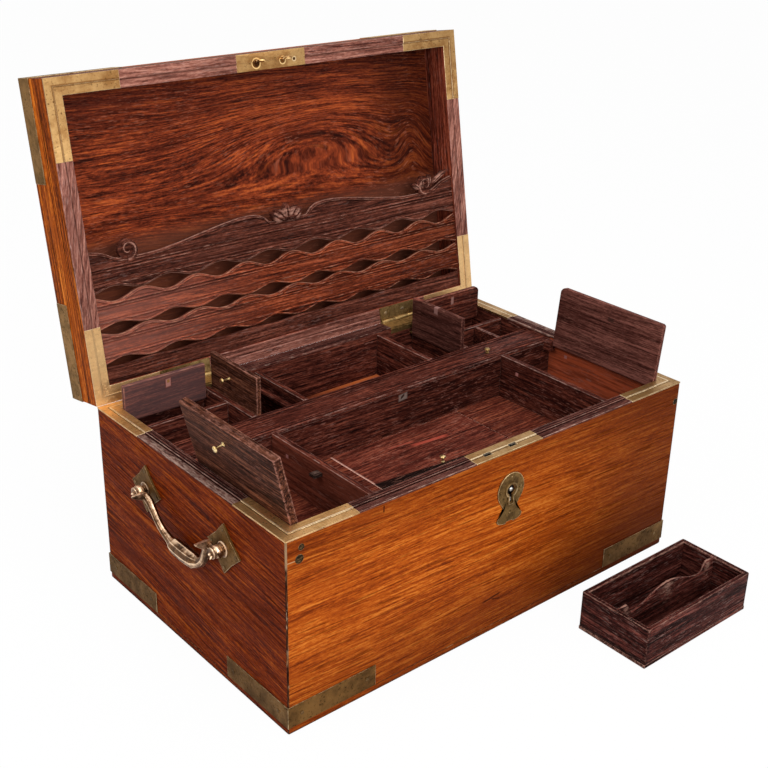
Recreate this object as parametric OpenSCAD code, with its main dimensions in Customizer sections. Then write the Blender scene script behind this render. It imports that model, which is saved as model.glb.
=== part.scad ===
// Campaign writing box: a hardwood case bound with brass, shown with the lid open and
// the small compartment lids standing. Millimetres, +Z up, +X to the right along the front,
// +Y towards the hinges. The origin is the centre of the underside.
// The lid is drawn shut, in hinge coordinates, and turned to its open place by open_lid().

/* [Case] */
// Width of the case along the front
case_w = 500; // [450:1:560]
// Depth of the case from front to back
case_d = 310; // [290:1:350]
// Height of the body, from the ground to its rim
body_h = 195; // [180:1:230]
// Height of the lid, from its rim to its top
lid_h = 52; // [48:1:70]
// Angle of the open lid
lid_open = 99.7; // [92:0.1:108]
// Thickness of the outer boards
board_t = 13; // [11:0.5:16]
// Thickness of the bottom board
bottom_t = 8; // [6:0.5:12]
// Thickness of the board on top of the lid
lid_top_t = 9; // [6:0.5:12]
// Thickness of the flamed panel inside the lid
lid_panel_t = 9; // [6:0.5:12]
// Thickness of the lining boards
lining_t = 4; // [3:0.5:6]
// Thickness of the lining board at the back
back_lining_t = 5; // [4:0.5:8]
// Thickness of the rosewood facing and of the brass on the rims
facing_t = 1.5; // [1:0.1:2.5]
// Height of the step along the middle of the rims
rim_step = 0.8; // [0.4:0.1:1.2]
// Distance of that step from the outside of the case
rim_step_in = 8.5; // [6:0.5:10]
// Gap between the two rims when the lid is shut
shut_gap = 0.3; // [0.2:0.1:0.6]

/* [Brass mounts] */
// Length of a leg of a rim corner plate
corner_leg = 76; // [40:1:100]
// Height of the straps round the bottom corners
strap_h = 22; // [14:1:30]
// Length of a strap's leg along the front or the back
strap_leg_x = 96; // [50:1:130]
// Length of a strap's leg along a side
strap_leg_y = 93; // [50:1:120]
// Thickness of the straps
strap_t = 0.8; // [0.5:0.1:1.5]
// Width of the straps round the top edge of the lid
lid_strap_h = 22; // [14:1:24]
// Radius of the small brass screw heads
screw_r = 1.8; // [1.2:0.1:2.5]
// How far a screw head stands proud
screw_proud = 0.4; // [0.2:0.1:1]

/* [Hinges] */
// Length of a hinge along the back
hinge_l = 57; // [40:1:80]
// Distance of the left hinge's middle from the left end of the case
left_hinge_in = 101.5; // [90:0.5:140]
// Distance of the right hinge's middle from the right end of the case
right_hinge_in = 114.5; // [90:0.5:140]
// Radius of the hinge knuckles
knuckle_r = 3; // [2.5:0.1:4]
// Radius of the hinge pins
hinge_pin_r = 1.5; // [1:0.1:1.8]
// How far the body leaf turns down inside
leaf_drop = 7; // [3:0.5:12]

/* [Handles] */
// Distance between the posts of a handle
post_gap = 131; // [110:1:150]
// Height of the posts above the ground
post_z = 145; // [120:1:160]
// Half of the diagonal of a handle plate
plate_half = 25; // [18:1:30]
// Thickness of a handle plate
plate_t = 2; // [1.5:0.1:3]
// Radius of the ball on a post
ball_r = 6; // [5.5:0.25:7]
// Distance of the ball's middle from the side of the case
ball_out = 8.5; // [8:0.25:12]
// Radius of the bail's ends in the balls
bail_pin_r = 3; // [2:0.1:3.2]
// Drop of the grip below the posts
bail_drop = 30; // [26:1:45]
// Length of the thick grip
grip_l = 38; // [30:1:44]
// How far the grip hangs forward of the middle
grip_shift = 11; // [0:1:12]
// Radius of the thick grip
grip_r = 6; // [4.5:0.25:6.5]
// Radius of the bail's arms
arm_r = 3.8; // [3:0.1:4]
// Length of the flat leaves on the bail's ends
tab_l = 15; // [10:1:20]

/* [Lock] */
// Place of the lock's middle along the front
lock_x = 3; // [-20:1:20]
// Length of the lock plate on the rim
lock_plate_l = 85; // [60:1:110]
// Height of the lock case
lock_h = 62; // [60:1:75]
// Width of the lock case
lock_w = 72; // [71:1:80]
// Depth of the lock case from front to back
lock_d = 9; // [8:0.5:10]
// Distance of the keyhole below the rim
keyhole_drop = 41.4; // [35:0.2:46]
// Travel of the bolt
bolt_travel = 3.5; // [2:0.5:4]
// Length of the link plate on the lid
link_plate_l = 84; // [60:1:100]
// Length of the hooks on the link plate
hook_l = 12; // [9:0.5:16]

/* [Till] */
// Depth of the compartments below the tops of the partitions
till_depth = 48; // [36:1:60]
// Distance of the tops of the partitions below the rim
till_drop = 3; // [2:0.5:6]
// Thickness of the partitions
part_t = 6; // [4:0.5:8]
// Thickness of the till floor
floor_t = 9; // [7:0.5:12]
// Depth of the row of compartments at the back
rear_row = 86; // [70:1:100]
// Width of the moulded divider between the rows
divider_w = 39; // [24:1:50]
// Width of the left corner compartment
left_corner_w = 92; // [70:1:110]
// Width of the lidded compartment beside it
left_narrow_w = 55.5; // [40:0.5:70]
// Width of the lidded compartment right of the rear well
right_narrow_w = 46.5; // [36:0.5:70]
// Width of the right corner compartment
right_corner_w = 88.5; // [70:0.5:110]
// Width of the large compartment at the left front
front_left_w = 87; // [80:1:110]
// Width of the large compartment at the right front
front_right_w = 70.5; // [60:0.5:90]
// Distance of the small partition from the right end
small_part_x = 40; // [25:1:60]

/* [Compartment lids] */
// Thickness of the compartment lids
flap_t = 5; // [4:0.25:6]
// Thickness of the left front lid, which is heavier than the others
thick_flap_t = 8; // [5:0.25:8]
// Gap around a compartment lid
flap_gap = 0.4; // [0.3:0.1:0.8]
// Depth of the two corner lids from back to front
corner_flap_w = 39; // [30:0.5:50]
// Gap left for a finger beside the left front lid
finger_gap = 6; // [3:0.5:12]
// Gap left for a finger beside the left narrow lid
narrow_finger_gap = 5; // [3:0.5:12]
// Length of the wooden blocks behind the two front lids
flap_block = 9.2; // [6:0.2:14]
// Gap behind the two narrow lids
narrow_back_gap = 4.8; // [1:0.2:8]
// Lean of the left front lid beyond upright
left_lean = 14; // [0:1:20]
// Lean of the right front lid beyond upright
right_lean = 6; // [0:1:15]
// How much lower the rear lids lie than the front ones
rear_flap_drop = 6; // [5:0.5:8]
// Radius of the pins that the lids turn on
pivot_r = 1.2; // [0.8:0.1:1.6]
// Radius of the heads of the brass knobs
knob_r = 3.2; // [2:0.1:4.5]
// Length of the knobs
knob_l = 10.5; // [6:0.5:11]

/* [Hatch] */
// Width of the loose board in the till floor
hatch_w = 171; // [100:1:190]
// Thickness of the loose board
hatch_t = 3; // [2:0.5:4]
// Width of the rebate that it lies on
hatch_rebate = 5; // [3:0.5:8]
// How deep the loose board lies below the floor round it
hatch_sunk = 0.5; // [0:0.25:2]
// Gap in front of the loose board, for a finger nail
hatch_front_gap = 1.6; // [0.6:0.2:4]
// Length of the knob on the loose board
hatch_knob_l = 7; // [5:0.5:7]

/* [Letter rack] */
// Distance of the rack boards behind the lid's rim
rack_in = 4; // [3:0.5:8]
// Thickness of the rack boards
rack_t = 5; // [3:0.5:6]
// Length of one wave on the edges of the slats
wave_l = 60; // [40:1:80]
// Height of a wave on the lower edges
wave_low = 5.5; // [3:0.5:7]
// Height of a wave on the upper edges
wave_high = 8; // [4:0.5:9]
// Distance from the hinge edge to where the crest meets the slat below it
crest_low = 104.5; // [95:0.5:115]
// Distance from the hinge edge to where the two slats meet
slat_meet = 69.5; // [60:0.5:76]
// Distance from the hinge edge to where the lower slat meets the rail
rail_meet = 35; // [30:0.5:42]
// Distance from the hinge edge to the top of the crest
crest_top = 150; // [142:0.5:155]
// Distance from the hinge edge to the lowest part of the crest's top
crest_dip = 135.5; // [125:0.5:138]
// Width of the carved leaf in the middle of the crest
leaf_w = 52; // [40:1:70]
// Width of the swell beside the leaf
swell_w = 26; // [20:1:40]
// Distance of the scrolls from the ends of the crest
scroll_in = 42; // [34:1:60]
// Radius of the scrolls
scroll_r = 10.5; // [7:0.5:13]
// Rise of the crest at its ends
end_rise = 12; // [4:0.5:16]

/* [Tray] */
// Depth of the loose tray from front to back
tray_d = 82; // [60:1:84]
// Height of the loose tray
tray_h = 43; // [30:1:50]
// Thickness of its walls
tray_wall = 5; // [4:0.5:7]
// Thickness of its floor
tray_floor_t = 4; // [3:0.5:6]
// Thickness of the carved handle that divides it
tray_handle_t = 4; // [3:0.5:6]
// Gap between the tray and the ends of the rear well
tray_gap = 1.75; // [0.5:0.25:4]
// Distance of the tray in front of the case
tray_front_gap = 50; // [20:1:90]
// Place of the tray's left end beside the case
tray_x = 63; // [0:1:90]

/* [Hidden] */
$fn = 48;
eps = 0.01;
// Half sizes of the case, and the planes of the inner faces
hw = case_w / 2;
hd = case_d / 2;
wall_t = board_t + lining_t;
in_x = hw - wall_t;
in_front = -(hd - wall_t);
in_back = hd - board_t - back_lining_t;
rim_w = wall_t;
board_top = body_h - facing_t;
// The hinge axis lies half of the shut gap above the body's rim
axis_y = hd;
axis_z = body_h + shut_gap / 2;
knuckle_clear = knuckle_r + 0.4;
knuckle_gap = 0.3;
flange_t = 1.2;
hinge_x = [-hw + left_hinge_in, hw - right_hinge_in];
hinge_half = hinge_l / 2 + knuckle_gap;
pin_fit = 0.05;
// Heights inside the till
part_top = body_h - till_drop;
floor_top = part_top - till_depth;
floor_low = floor_top - floor_t;
bearer = 8;
joint_gap = 0.2;
rest_w = 3;
peg_w = 8;
// Planes of the divider and of the partitions
div_back = in_back - rear_row;
div_front = div_back - divider_w;
cap_t = 3.5;
pull_x = 149;
pull_h = 5.5;
rail_t = 5;
small_part_t = 4;
p1_x = -in_x + left_corner_w;
p2_x = p1_x + part_t + left_narrow_w;
p4_x = in_x - right_corner_w - part_t;
p3_x = p4_x - right_narrow_w - part_t;
p5_x = -in_x + front_left_w;
p6_x = in_x - front_right_w - part_t;
well_w = p3_x - p2_x - part_t;
// Heights of the compartment lids when shut, and the axes they turn on
flap_r = flap_t / 2;
thick_r = thick_flap_t / 2;
front_flap_z = part_top - flap_r;
thick_flap_z = part_top - thick_r;
rear_flap_z = front_flap_z - rear_flap_drop;
turn_gap = 0.3;
left_inset = thick_r / cos(left_lean) + (rim_step + till_drop + thick_r) * tan(left_lean) + turn_gap;
right_inset = flap_r / cos(right_lean) + (rim_step + till_drop + flap_r) * tan(right_lean) + turn_gap;
corner_axis_l = in_back - flap_r - turn_gap;
corner_axis_r = in_back - flap_r - 4;
narrow_axis_l = p1_x + part_t + flap_r + turn_gap;
narrow_axis_r = p4_x - flap_r - turn_gap;
front_axis_l = -in_x + left_inset;
front_axis_r = in_x - right_inset;
narrow_y0 = div_back + flap_gap;
front_y0 = in_front + flap_gap;
peg_y = (in_front + div_front) / 2;
rail_l_y = corner_axis_l + flap_r - corner_flap_w - turn_gap;
rail_r_y = corner_axis_r + flap_r - corner_flap_w - turn_gap;
// Widths of the lids that fill their compartments
right_flap_w = in_x - p6_x - part_t - right_inset + flap_r - turn_gap;
left_flap_w = front_left_w - left_inset + thick_r - finger_gap;
left_narrow_flap_w = left_narrow_w - turn_gap - narrow_finger_gap;
front_flap_l = div_front - in_front - 2 * flap_gap - flap_block;
narrow_flap_l = rear_row - flap_gap - narrow_back_gap;
right_narrow_flap_w = right_narrow_w - 2 * turn_gap;
pin_in = 6;
pivot_hole = pivot_r + pin_fit;
// The lock: its walls, its hooks and its keyhole
case_wall = 1.2;
lock_y = -hd + 3.2;
keyhole_z = body_h - keyhole_drop;
lock_top = board_top;
hook_x = [lock_x - 22, lock_x + 10];
hook_w = 8;
hook_t = 2.4;
hook_y = lock_y + lock_d / 2;
slot_gap = 0.75;
bolt_t = 2.4;
key_r = 2.6;
plug_in = 13.5;
plug_drop = 21;
plug_r = 4.2;
right_plug_in = 4.8;
// The tray is as long as the rear well, less its gaps
tray_l = well_w - 2 * tray_gap;
tray_y = -hd - tray_front_gap - tray_d;
// Colours
timber = [0.62, 0.31, 0.12];
rosewood = [0.3, 0.16, 0.14];
facing = [0.42, 0.25, 0.22];
flame = [0.55, 0.24, 0.12];
brass = [0.74, 0.6, 0.36];
dark_brass = [0.42, 0.34, 0.2];
bronze = [0.5, 0.42, 0.32];

// Turns what is drawn in hinge coordinates, shut, to the open lid's place
module open_lid() {
    translate([0, axis_y, axis_z]) rotate([-lid_open, 0, 0]) children();
}

// A box between two corners
module block(a, b) {
    translate(a) cube([b[0] - a[0], b[1] - a[1], b[2] - a[2]]);
}

// Draws its children at all four corners of a plan by mirroring
module four_corners() {
    for (sx = [0, 1], sy = [0, 1]) mirror([sx, 0, 0]) mirror([0, sy, 0]) children();
}

// The stepped section of a rim: the inner part stands up by the step
module rim_section(t, step) {
    polygon([[0, 0], [rim_w, 0], [rim_w, t + step], [rim_step_in, t + step],
             [rim_step_in, t], [0, t]]);
}

// A length of rim along x, its outer edge at y = -hd, its back at z = 0, rising to +z
module rim_strip(x0, x1, t, step) {
    translate([x0, -hd, 0]) rotate([90, 0, 90]) linear_extrude(x1 - x0) rim_section(t, step);
}

// A length of rim along y on the left, its outer edge at x = -hw
module rim_side_strip(y0, y1, t, step) {
    translate([-hw, y1, 0]) rotate([90, 0, 0]) linear_extrude(y1 - y0) rim_section(t, step);
}

// The mitred brass plate on one corner of a rim
module corner_plate(t, step) {
    difference() {
        rim_strip(-hw, -hw + corner_leg, t, step);
        translate([-hw, -hd, -1]) rotate([0, 0, 45]) cube([2 * rim_w, 2 * rim_w, t + step + 2]);
    }
    intersection() {
        rim_side_strip(-hd, -hd + corner_leg, t, step);
        translate([-hw, -hd, -1]) rotate([0, 0, 45]) cube([2 * corner_leg, 2 * corner_leg, t + step + 2]);
    }
}

// The round head of a small screw
module screw_head(h) {
    cylinder(h = h, r = screw_r, $fn = 16);
}

module bottom_board() {
    color(timber) difference() {
        block([-hw, -hd, 0], [hw, hd, bottom_t]);
        for (s = [-1, 1]) {
            translate([-hw - 1, s * hd, 0]) rotate([45, 0, 0]) translate([0, -1, -1])
                cube([case_w + 2, 2, 2]);
            translate([s * hw, -hd - 1, 0]) rotate([0, 45, 0]) translate([-1, 0, -1])
                cube([2, case_d + 2, 2]);
        }
    }
}

module front_board() {
    color(timber) difference() {
        block([-hw, -hd, bottom_t], [hw, -hd + board_t, board_top]);
        block([lock_x - lock_w / 2, lock_y, board_top - lock_h],
              [lock_x + lock_w / 2, lock_y + lock_d, board_top + 1]);
        keyhole(-hd - 1, -hd + board_t / 2);
    }
}

// The keyhole, a round with a slot under it, cut from y0 to y1
module keyhole(y0, y1) {
    translate([lock_x + 3, y1, keyhole_z]) rotate([90, 0, 0]) cylinder(h = y1 - y0, r = key_r, $fn = 32);
    block([lock_x + 3 - 1.4, y0, keyhole_z - 13], [lock_x + 3 + 1.4, y1, keyhole_z]);
}

// Room for a hinge's knuckles in a board's edge
module knuckle_room() {
    for (x = hinge_x) translate([x - hinge_l / 2 - knuckle_gap, 0, 0])
        rotate([0, 90, 0]) cylinder(h = hinge_l + 2 * knuckle_gap, r = knuckle_clear);
}

module back_board() {
    color(timber) difference() {
        block([-hw, hd - board_t, bottom_t], [hw, hd, board_top]);
        translate([0, axis_y, axis_z]) knuckle_room();
    }
}

module side_board() {
    block([-hw, -hd + board_t, bottom_t], [-hw + board_t, hd - board_t, board_top]);
}

module left_board() {
    color(timber) side_board();
}

module right_board() {
    color(timber) mirror([1, 0, 0]) side_board();
}

// The facing of a rim, with the corners, hinges and lock left out; lying on z = 0
module facing_strips(t, step, lock_l, lock_mid) {
    rim_strip(-hw + corner_leg, lock_mid - lock_l / 2, t, step);
    rim_strip(lock_mid + lock_l / 2, hw - corner_leg, t, step);
    for (m = [0, 1]) mirror([m, 0, 0]) rim_side_strip(-hd + corner_leg, hd - corner_leg, t, step);
    mirror([0, 1, 0]) {
        rim_strip(hinge_x[0] + hinge_half, hinge_x[1] - hinge_half, t, step);
        if (hinge_x[0] - hinge_half > -hw + corner_leg)
            rim_strip(-hw + corner_leg, hinge_x[0] - hinge_half, t, step);
        if (hinge_x[1] + hinge_half < hw - corner_leg)
            rim_strip(hinge_x[1] + hinge_half, hw - corner_leg, t, step);
    }
}

module rim_facing() {
    color(facing) translate([0, 0, board_top]) facing_strips(facing_t, rim_step, lock_plate_l, lock_x);
}

// The brass plates of one rim; the back ones are cut off where the hinges start
module corner_plates(t, step) {
    for (m = [0, 1]) mirror([m, 0, 0]) corner_plate(t, step);
    mirror([0, 1, 0]) difference() {
        for (m = [0, 1]) mirror([m, 0, 0]) corner_plate(t, step);
        block([hinge_x[0] - hinge_half, -hd - 1, -1],
              [hinge_x[1] + hinge_half, -hd + rim_w + 1, t + abs(step) + 1]);
    }
}

module rim_corner_plates() {
    color(brass) translate([0, 0, board_top]) corner_plates(facing_t, rim_step);
}

// A brass strap folded round one upright corner, from z0 up
module corner_strap(leg_x, leg_y, h) {
    block([-hw - strap_t, -hd - strap_t, 0], [-hw + leg_x, -hd, h]);
    block([-hw - strap_t, -hd, 0], [-hw, -hd + leg_y, h]);
}

module base_straps() {
    color(dark_brass) translate([0, 0, bottom_t]) four_corners()
        corner_strap(strap_leg_x, strap_leg_y, strap_h);
}

module lining_boards() {
    color(rosewood) {
        block([-hw + board_t, -hd + board_t, bottom_t], [hw - board_t, in_front, board_top]);
        difference() {
            block([-hw + board_t, in_back, bottom_t], [hw - board_t, hd - board_t, board_top]);
            for (x = hinge_x) block([x - hinge_l / 2 - knuckle_gap, in_back - 1, body_h - leaf_drop],
                                    [x + hinge_l / 2 + knuckle_gap, in_back + flange_t, body_h]);
        }
        for (m = [0, 1]) mirror([m, 0, 0])
            block([-hw + board_t, in_front, bottom_t], [-in_x, in_back, board_top]);
    }
}

// A strip or a peg under the free end of a compartment lid, its top just under the lid
module flap_rest(a, b, z, r = flap_r) {
    block([a[0], a[1], z - r - turn_gap - rest_w], [b[0], b[1], z - r - turn_gap]);
}

module bearer_strips() {
    color(rosewood) {
        for (m = [0, 1]) mirror([m, 0, 0])
            block([-in_x, in_front, floor_low - bearer], [-in_x + bearer, in_back, floor_low]);
        for (y = [in_front, in_back - bearer])
            block([-in_x + bearer + joint_gap, y, floor_low - bearer],
                  [in_x - bearer - joint_gap, y + bearer, floor_low]);
        flap_rest([-in_x, rail_l_y], [p1_x, rail_l_y + rest_w], rear_flap_z);
        flap_rest([p4_x + part_t, rail_r_y], [in_x, rail_r_y + rest_w], rear_flap_z);
        flap_rest([p2_x - narrow_finger_gap - rest_w, div_back], [p2_x, in_back], rear_flap_z);
        flap_rest([p3_x + part_t, div_back], [p3_x + part_t + rest_w, in_back], rear_flap_z);
        flap_rest([p5_x - finger_gap - rest_w, peg_y - peg_w / 2], [p5_x, peg_y + peg_w / 2],
                  thick_flap_z, thick_r);
        flap_rest([p6_x + part_t, in_front], [p6_x + part_t + rest_w, div_front], front_flap_z);
        for (m = [0, 1]) mirror([m, 0, 0])
            block([-in_x, front_y0 + front_flap_l + flap_gap, part_top - 10],
                  [-in_x + 10, div_front, part_top]);
    }
}

// Place of the hatch in the till floor
hatch_x0 = (p5_x + part_t + p6_x) / 2 - hatch_w / 2;
hatch_z = floor_top - hatch_sunk - hatch_t;

module till_floor() {
    color(rosewood) difference() {
        block([-in_x, in_front, floor_low], [in_x, in_back, floor_top]);
        block([hatch_x0, in_front - 1, hatch_z], [hatch_x0 + hatch_w, div_front, floor_top + 1]);
        block([hatch_x0 + hatch_rebate, in_front + hatch_rebate, floor_low - 1],
              [hatch_x0 + hatch_w - hatch_rebate, div_front - hatch_rebate, floor_top]);
    }
}

module centre_divider() {
    color(rosewood) {
        block([-in_x, div_front, floor_top], [in_x, div_front + part_t, part_top - cap_t]);
        block([-in_x, div_back - part_t, floor_top], [in_x, div_back, part_top - cap_t]);
    }
}

// The capping is worked with beads along both edges and a flat between them
module divider_capping() {
    bead = 1.4;
    color(rosewood) translate([-in_x, div_front, part_top - cap_t]) rotate([90, 0, 90])
        linear_extrude(2 * in_x) difference() {
            square([divider_w, cap_t]);
            for (y = [3 * bead, 7 * bead, divider_w - 7 * bead, divider_w - 3 * bead])
                translate([y, cap_t]) circle(r = bead / 2, $fn = 16);
            for (y = [5 * bead, divider_w - 5 * bead]) translate([y, cap_t]) circle(r = bead / 2, $fn = 16);
        }
}

module rear_partitions() {
    color(rosewood) for (x = [p1_x, p4_x])
        block([x, div_back, floor_top], [x + part_t, in_back, part_top]);
}

module well_partitions() {
    color(rosewood) for (x = [p2_x, p3_x])
        block([x, div_back, floor_top], [x + part_t, in_back, part_top]);
}

// The rails across the corner compartments, and the small partition behind the right one
module cross_rails() {
    color(rosewood) {
        block([-in_x, rail_l_y - rail_t, floor_top], [p1_x, rail_l_y, part_top]);
        block([p4_x + part_t, rail_r_y - rail_t, floor_top], [in_x, rail_r_y, part_top]);
        block([in_x - small_part_x - small_part_t, div_back, floor_top],
              [in_x - small_part_x, rail_r_y - rail_t, part_top]);
    }
}

module front_partitions() {
    color(rosewood) for (x = [p5_x, p6_x])
        block([x, in_front, floor_top], [x + part_t, div_front, part_top]);
}

// A pin along y or along x from a wall into the end of a compartment lid
module pin_y(x, y0, y1, z) {
    translate([x, y1, z]) rotate([90, 0, 0]) cylinder(h = y1 - y0, r = pivot_r);
}
module pin_x(x0, x1, y, z) {
    translate([x0, y, z]) rotate([0, 90, 0]) cylinder(h = x1 - x0, r = pivot_r);
}

module lid_pivot_pins() {
    reach = pin_in + flap_gap;
    color(brass) {
        pin_x(-in_x, -in_x + reach, corner_axis_l, rear_flap_z);
        pin_x(p1_x - reach, p1_x, corner_axis_l, rear_flap_z);
        pin_x(p4_x + part_t, p4_x + part_t + reach, corner_axis_r, rear_flap_z);
        pin_x(in_x - reach, in_x, corner_axis_r, rear_flap_z);
        for (x = [narrow_axis_l, narrow_axis_r]) {
            pin_y(x, div_back, div_back + reach, rear_flap_z);
            pin_y(x, narrow_y0 + narrow_flap_l - pin_in, in_back, rear_flap_z);
        }
        for (a = [[front_axis_l, thick_flap_z], [front_axis_r, front_flap_z]]) {
            pin_y(a[0], in_front, in_front + reach, a[1]);
            pin_y(a[0], front_y0 + front_flap_l - pin_in, front_y0 + front_flap_l + flap_gap, a[1]);
        }
    }
}

// One compartment lid, standing on its axis: it runs from y = 0 to y = l, rises by w from
// its rounded lower edge, is 2 r thick and is centred on x = 0
module flap(l, w, r = flap_r) {
    difference() {
        union() {
            translate([0, l, 0]) rotate([90, 0, 0]) cylinder(h = l, r = r);
            translate([-r, 0, 0]) cube([2 * r, l, w - r]);
        }
        for (y = [-1, l - pin_in - 0.3]) translate([0, y + pin_in + 1.3, 0])
            rotate([90, 0, 0]) cylinder(h = pin_in + 1.3, r = pivot_hole);
    }
}

// Places for the lids: each turns its children from the flap's own frame to the rest pose
module at_left_corner() {
    translate([-in_x + flap_gap, corner_axis_l, rear_flap_z]) rotate([0, 0, -90]) children();
}
module at_right_corner() {
    translate([p4_x + part_t + flap_gap, corner_axis_r, rear_flap_z]) rotate([0, 0, -90]) children();
}
module at_left_narrow() {
    translate([narrow_axis_l, narrow_y0, rear_flap_z]) children();
}
module at_right_narrow() {
    translate([narrow_axis_r, narrow_y0, rear_flap_z]) children();
}
module at_front_left() {
    translate([front_axis_l, front_y0, thick_flap_z]) rotate([0, -left_lean, 0]) children();
}
module at_front_right() {
    translate([front_axis_r, front_y0, front_flap_z]) rotate([0, right_lean, 0]) children();
}

module left_corner_lid() {
    color(rosewood) at_left_corner() flap(left_corner_w - 2 * flap_gap, corner_flap_w);
}
module right_corner_lid() {
    color(rosewood) at_right_corner() flap(right_corner_w - 2 * flap_gap, corner_flap_w);
}
module left_narrow_lid() {
    color(rosewood) at_left_narrow() flap(narrow_flap_l, left_narrow_flap_w);
}
module right_narrow_lid() {
    color(rosewood) at_right_narrow() flap(narrow_flap_l, right_narrow_flap_w);
}
module front_left_lid() {
    color(rosewood) at_front_left() flap(front_flap_l, left_flap_w, thick_r);
}
module front_right_lid() {
    color(rosewood) at_front_right() flap(front_flap_l, right_flap_w);
}

// A turned brass knob standing along -x from a lid's face
module knob(l) {
    rotate([0, -90, 0]) rotate_extrude($fn = 24)
        polygon([[0, 0], [2.2, 0], [2.2, 0.8], [1.1, 1.4], [1.1, l - 3], [knob_r * 0.7, l - 2.4],
                 [knob_r, l - 1.5], [knob_r * 0.8, l - 0.4], [0, l]]);
}

module left_narrow_knob() {
    color(brass) at_left_narrow()
        translate([-flap_r, narrow_flap_l * 0.58, left_narrow_flap_w * 0.6]) knob(knob_l);
}
module front_left_knob() {
    color(brass) at_front_left() translate([-thick_r, front_flap_l * 0.55, left_flap_w * 0.72])
        knob(knob_l);
}
module front_right_knob() {
    color(brass) at_front_right() translate([flap_r, front_flap_l * 0.5, right_flap_w * 0.72])
        mirror([1, 0, 0]) knob(knob_l);
}
module right_narrow_knob() {
    color(brass) at_right_narrow() translate([flap_r, narrow_flap_l * 0.5, right_narrow_flap_w * 0.6])
        mirror([1, 0, 0]) knob(knob_l);
}
module right_corner_knob() {
    color(brass) at_right_corner()
        translate([-flap_r, (right_corner_w - 2 * flap_gap) * 0.5, corner_flap_w * 0.6]) knob(knob_l - 1);
}

// The lock plate lies in the rim; the hooks of the link plate drop through its slots
module hook_slots(z0, z1) {
    a = hook_w / 2 + slot_gap;
    b = hook_t / 2 + slot_gap;
    for (x = hook_x) block([x - a, hook_y - b, z0], [x + a, hook_y + b, z1]);
}

module lock_plate() {
    color(brass) translate([0, 0, board_top]) difference() {
        rim_strip(lock_x - lock_plate_l / 2, lock_x + lock_plate_l / 2, facing_t, rim_step);
        hook_slots(-1, facing_t + rim_step + 1);
    }
}

module lock_case() {
    z0 = lock_top - lock_h;
    color(brass) difference() {
        block([lock_x - lock_w / 2, lock_y, z0], [lock_x + lock_w / 2, lock_y + lock_d, lock_top]);
        block([lock_x - lock_w / 2 + case_wall, lock_y + case_wall, z0 + case_wall],
              [lock_x + lock_w / 2 - case_wall, lock_y + lock_d - case_wall, lock_top - case_wall]);
        hook_slots(lock_top - 2 * case_wall, lock_top + 1);
        keyhole(lock_y - 1, lock_y + 2 * case_wall);
    }
}

// The bolt: a bar in the lock with a nose for each hook, drawn back at rest
bolt_top = axis_z - hook_l - shut_gap - 1;
module lock_bolt() {
    nose_z = axis_z - 7.5;
    color(brass) translate([0, hook_y + bolt_t / 2, 0]) rotate([90, 0, 0]) linear_extrude(bolt_t) {
        translate([hook_x[0] - hook_w / 2 - 8, bolt_top - 6])
            square([hook_x[1] - hook_x[0] + hook_w + 8, 6]);
        for (x = hook_x) {
            translate([x - hook_w / 2 - 8, bolt_top - eps]) square([3.4, nose_z - bolt_top + 1.4]);
            translate([x - hook_w / 2 - 8, nose_z]) square([7, 1.4]);
        }
    }
}

// The keyhole plate: an oval head, a waist and a fishtail foot, with a raised ring
module escutcheon() {
    cx = lock_x + 3;
    color(brass) difference() {
        union() {
            translate([cx, -hd, keyhole_z]) rotate([90, 0, 0]) linear_extrude(1.2) {
                scale([1, 1.05]) circle(r = 17);
                polygon([[-12, -8], [12, -8], [11, -15], [8, -19], [13, -26], [17, -29], [14, -33],
                         [7, -35], [0, -31], [-7, -35], [-14, -33], [-17, -29], [-13, -26],
                         [-8, -19], [-11, -15]]);
            }
            translate([cx, -hd - 1.2, keyhole_z]) rotate([90, 0, 0]) difference() {
                cylinder(h = 1.2, r = 8);
                translate([0, 0, -1]) cylinder(h = 4, r = 5.4);
            }
        }
        keyhole(-hd - 5, -hd + eps);
    }
}

// One hinge leaf with its knuckles, in hinge coordinates and lying above z = 0. The
// knuckles listed in own belong to it; it is cut clear of the others.
module hinge_leaf(own, t) {
    step = hinge_l / 3;
    for (x = hinge_x) translate([x - hinge_l / 2, 0, 0]) difference() {
        union() {
            translate([0, -rim_w, shut_gap / 2]) cube([hinge_l, rim_w, t]);
            for (i = own) translate([i * step + knuckle_gap / 2, 0, 0]) rotate([0, 90, 0])
                cylinder(h = step - knuckle_gap, r = knuckle_r);
        }
        for (i = [0 : 2]) if (len(search(i, own)) == 0) translate([i * step - knuckle_gap / 2, 0, 0])
            rotate([0, 90, 0])
            cylinder(h = step + knuckle_gap, r = knuckle_clear);
        translate([-1, 0, 0]) rotate([0, 90, 0]) cylinder(h = hinge_l + 2, r = hinge_pin_r + pin_fit);
    }
}

module body_hinge_leaves() {
    color(brass) {
        translate([0, axis_y, axis_z]) mirror([0, 0, 1]) hinge_leaf([0, 2], facing_t);
        for (x = hinge_x)
            block([x - hinge_l / 2, in_back, body_h - leaf_drop],
                  [x + hinge_l / 2, in_back + flange_t, board_top]);
    }
}

module hinge_pins() {
    color(brass) for (x = hinge_x)
        translate([x - hinge_l / 2, axis_y, axis_z]) rotate([0, 90, 0])
            cylinder(h = hinge_l, r = hinge_pin_r);
}

// A diamond plate with drawn-in sides on the left side of the case
module handle_plate(y) {
    h = plate_half;
    m = h / 2 - 0.8;
    translate([-hw, y, post_z]) rotate([90, 0, -90]) linear_extrude(plate_t)
        polygon([[0, h], [m, m], [h, 0], [m, -m], [0, -h], [-m, -m], [-h, 0], [-m, m]]);
}

module handle_plates() {
    color(dark_brass) for (m = [0, 1], s = [-1, 1]) mirror([m, 0, 0]) handle_plate(s * post_gap / 2);
}

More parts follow.
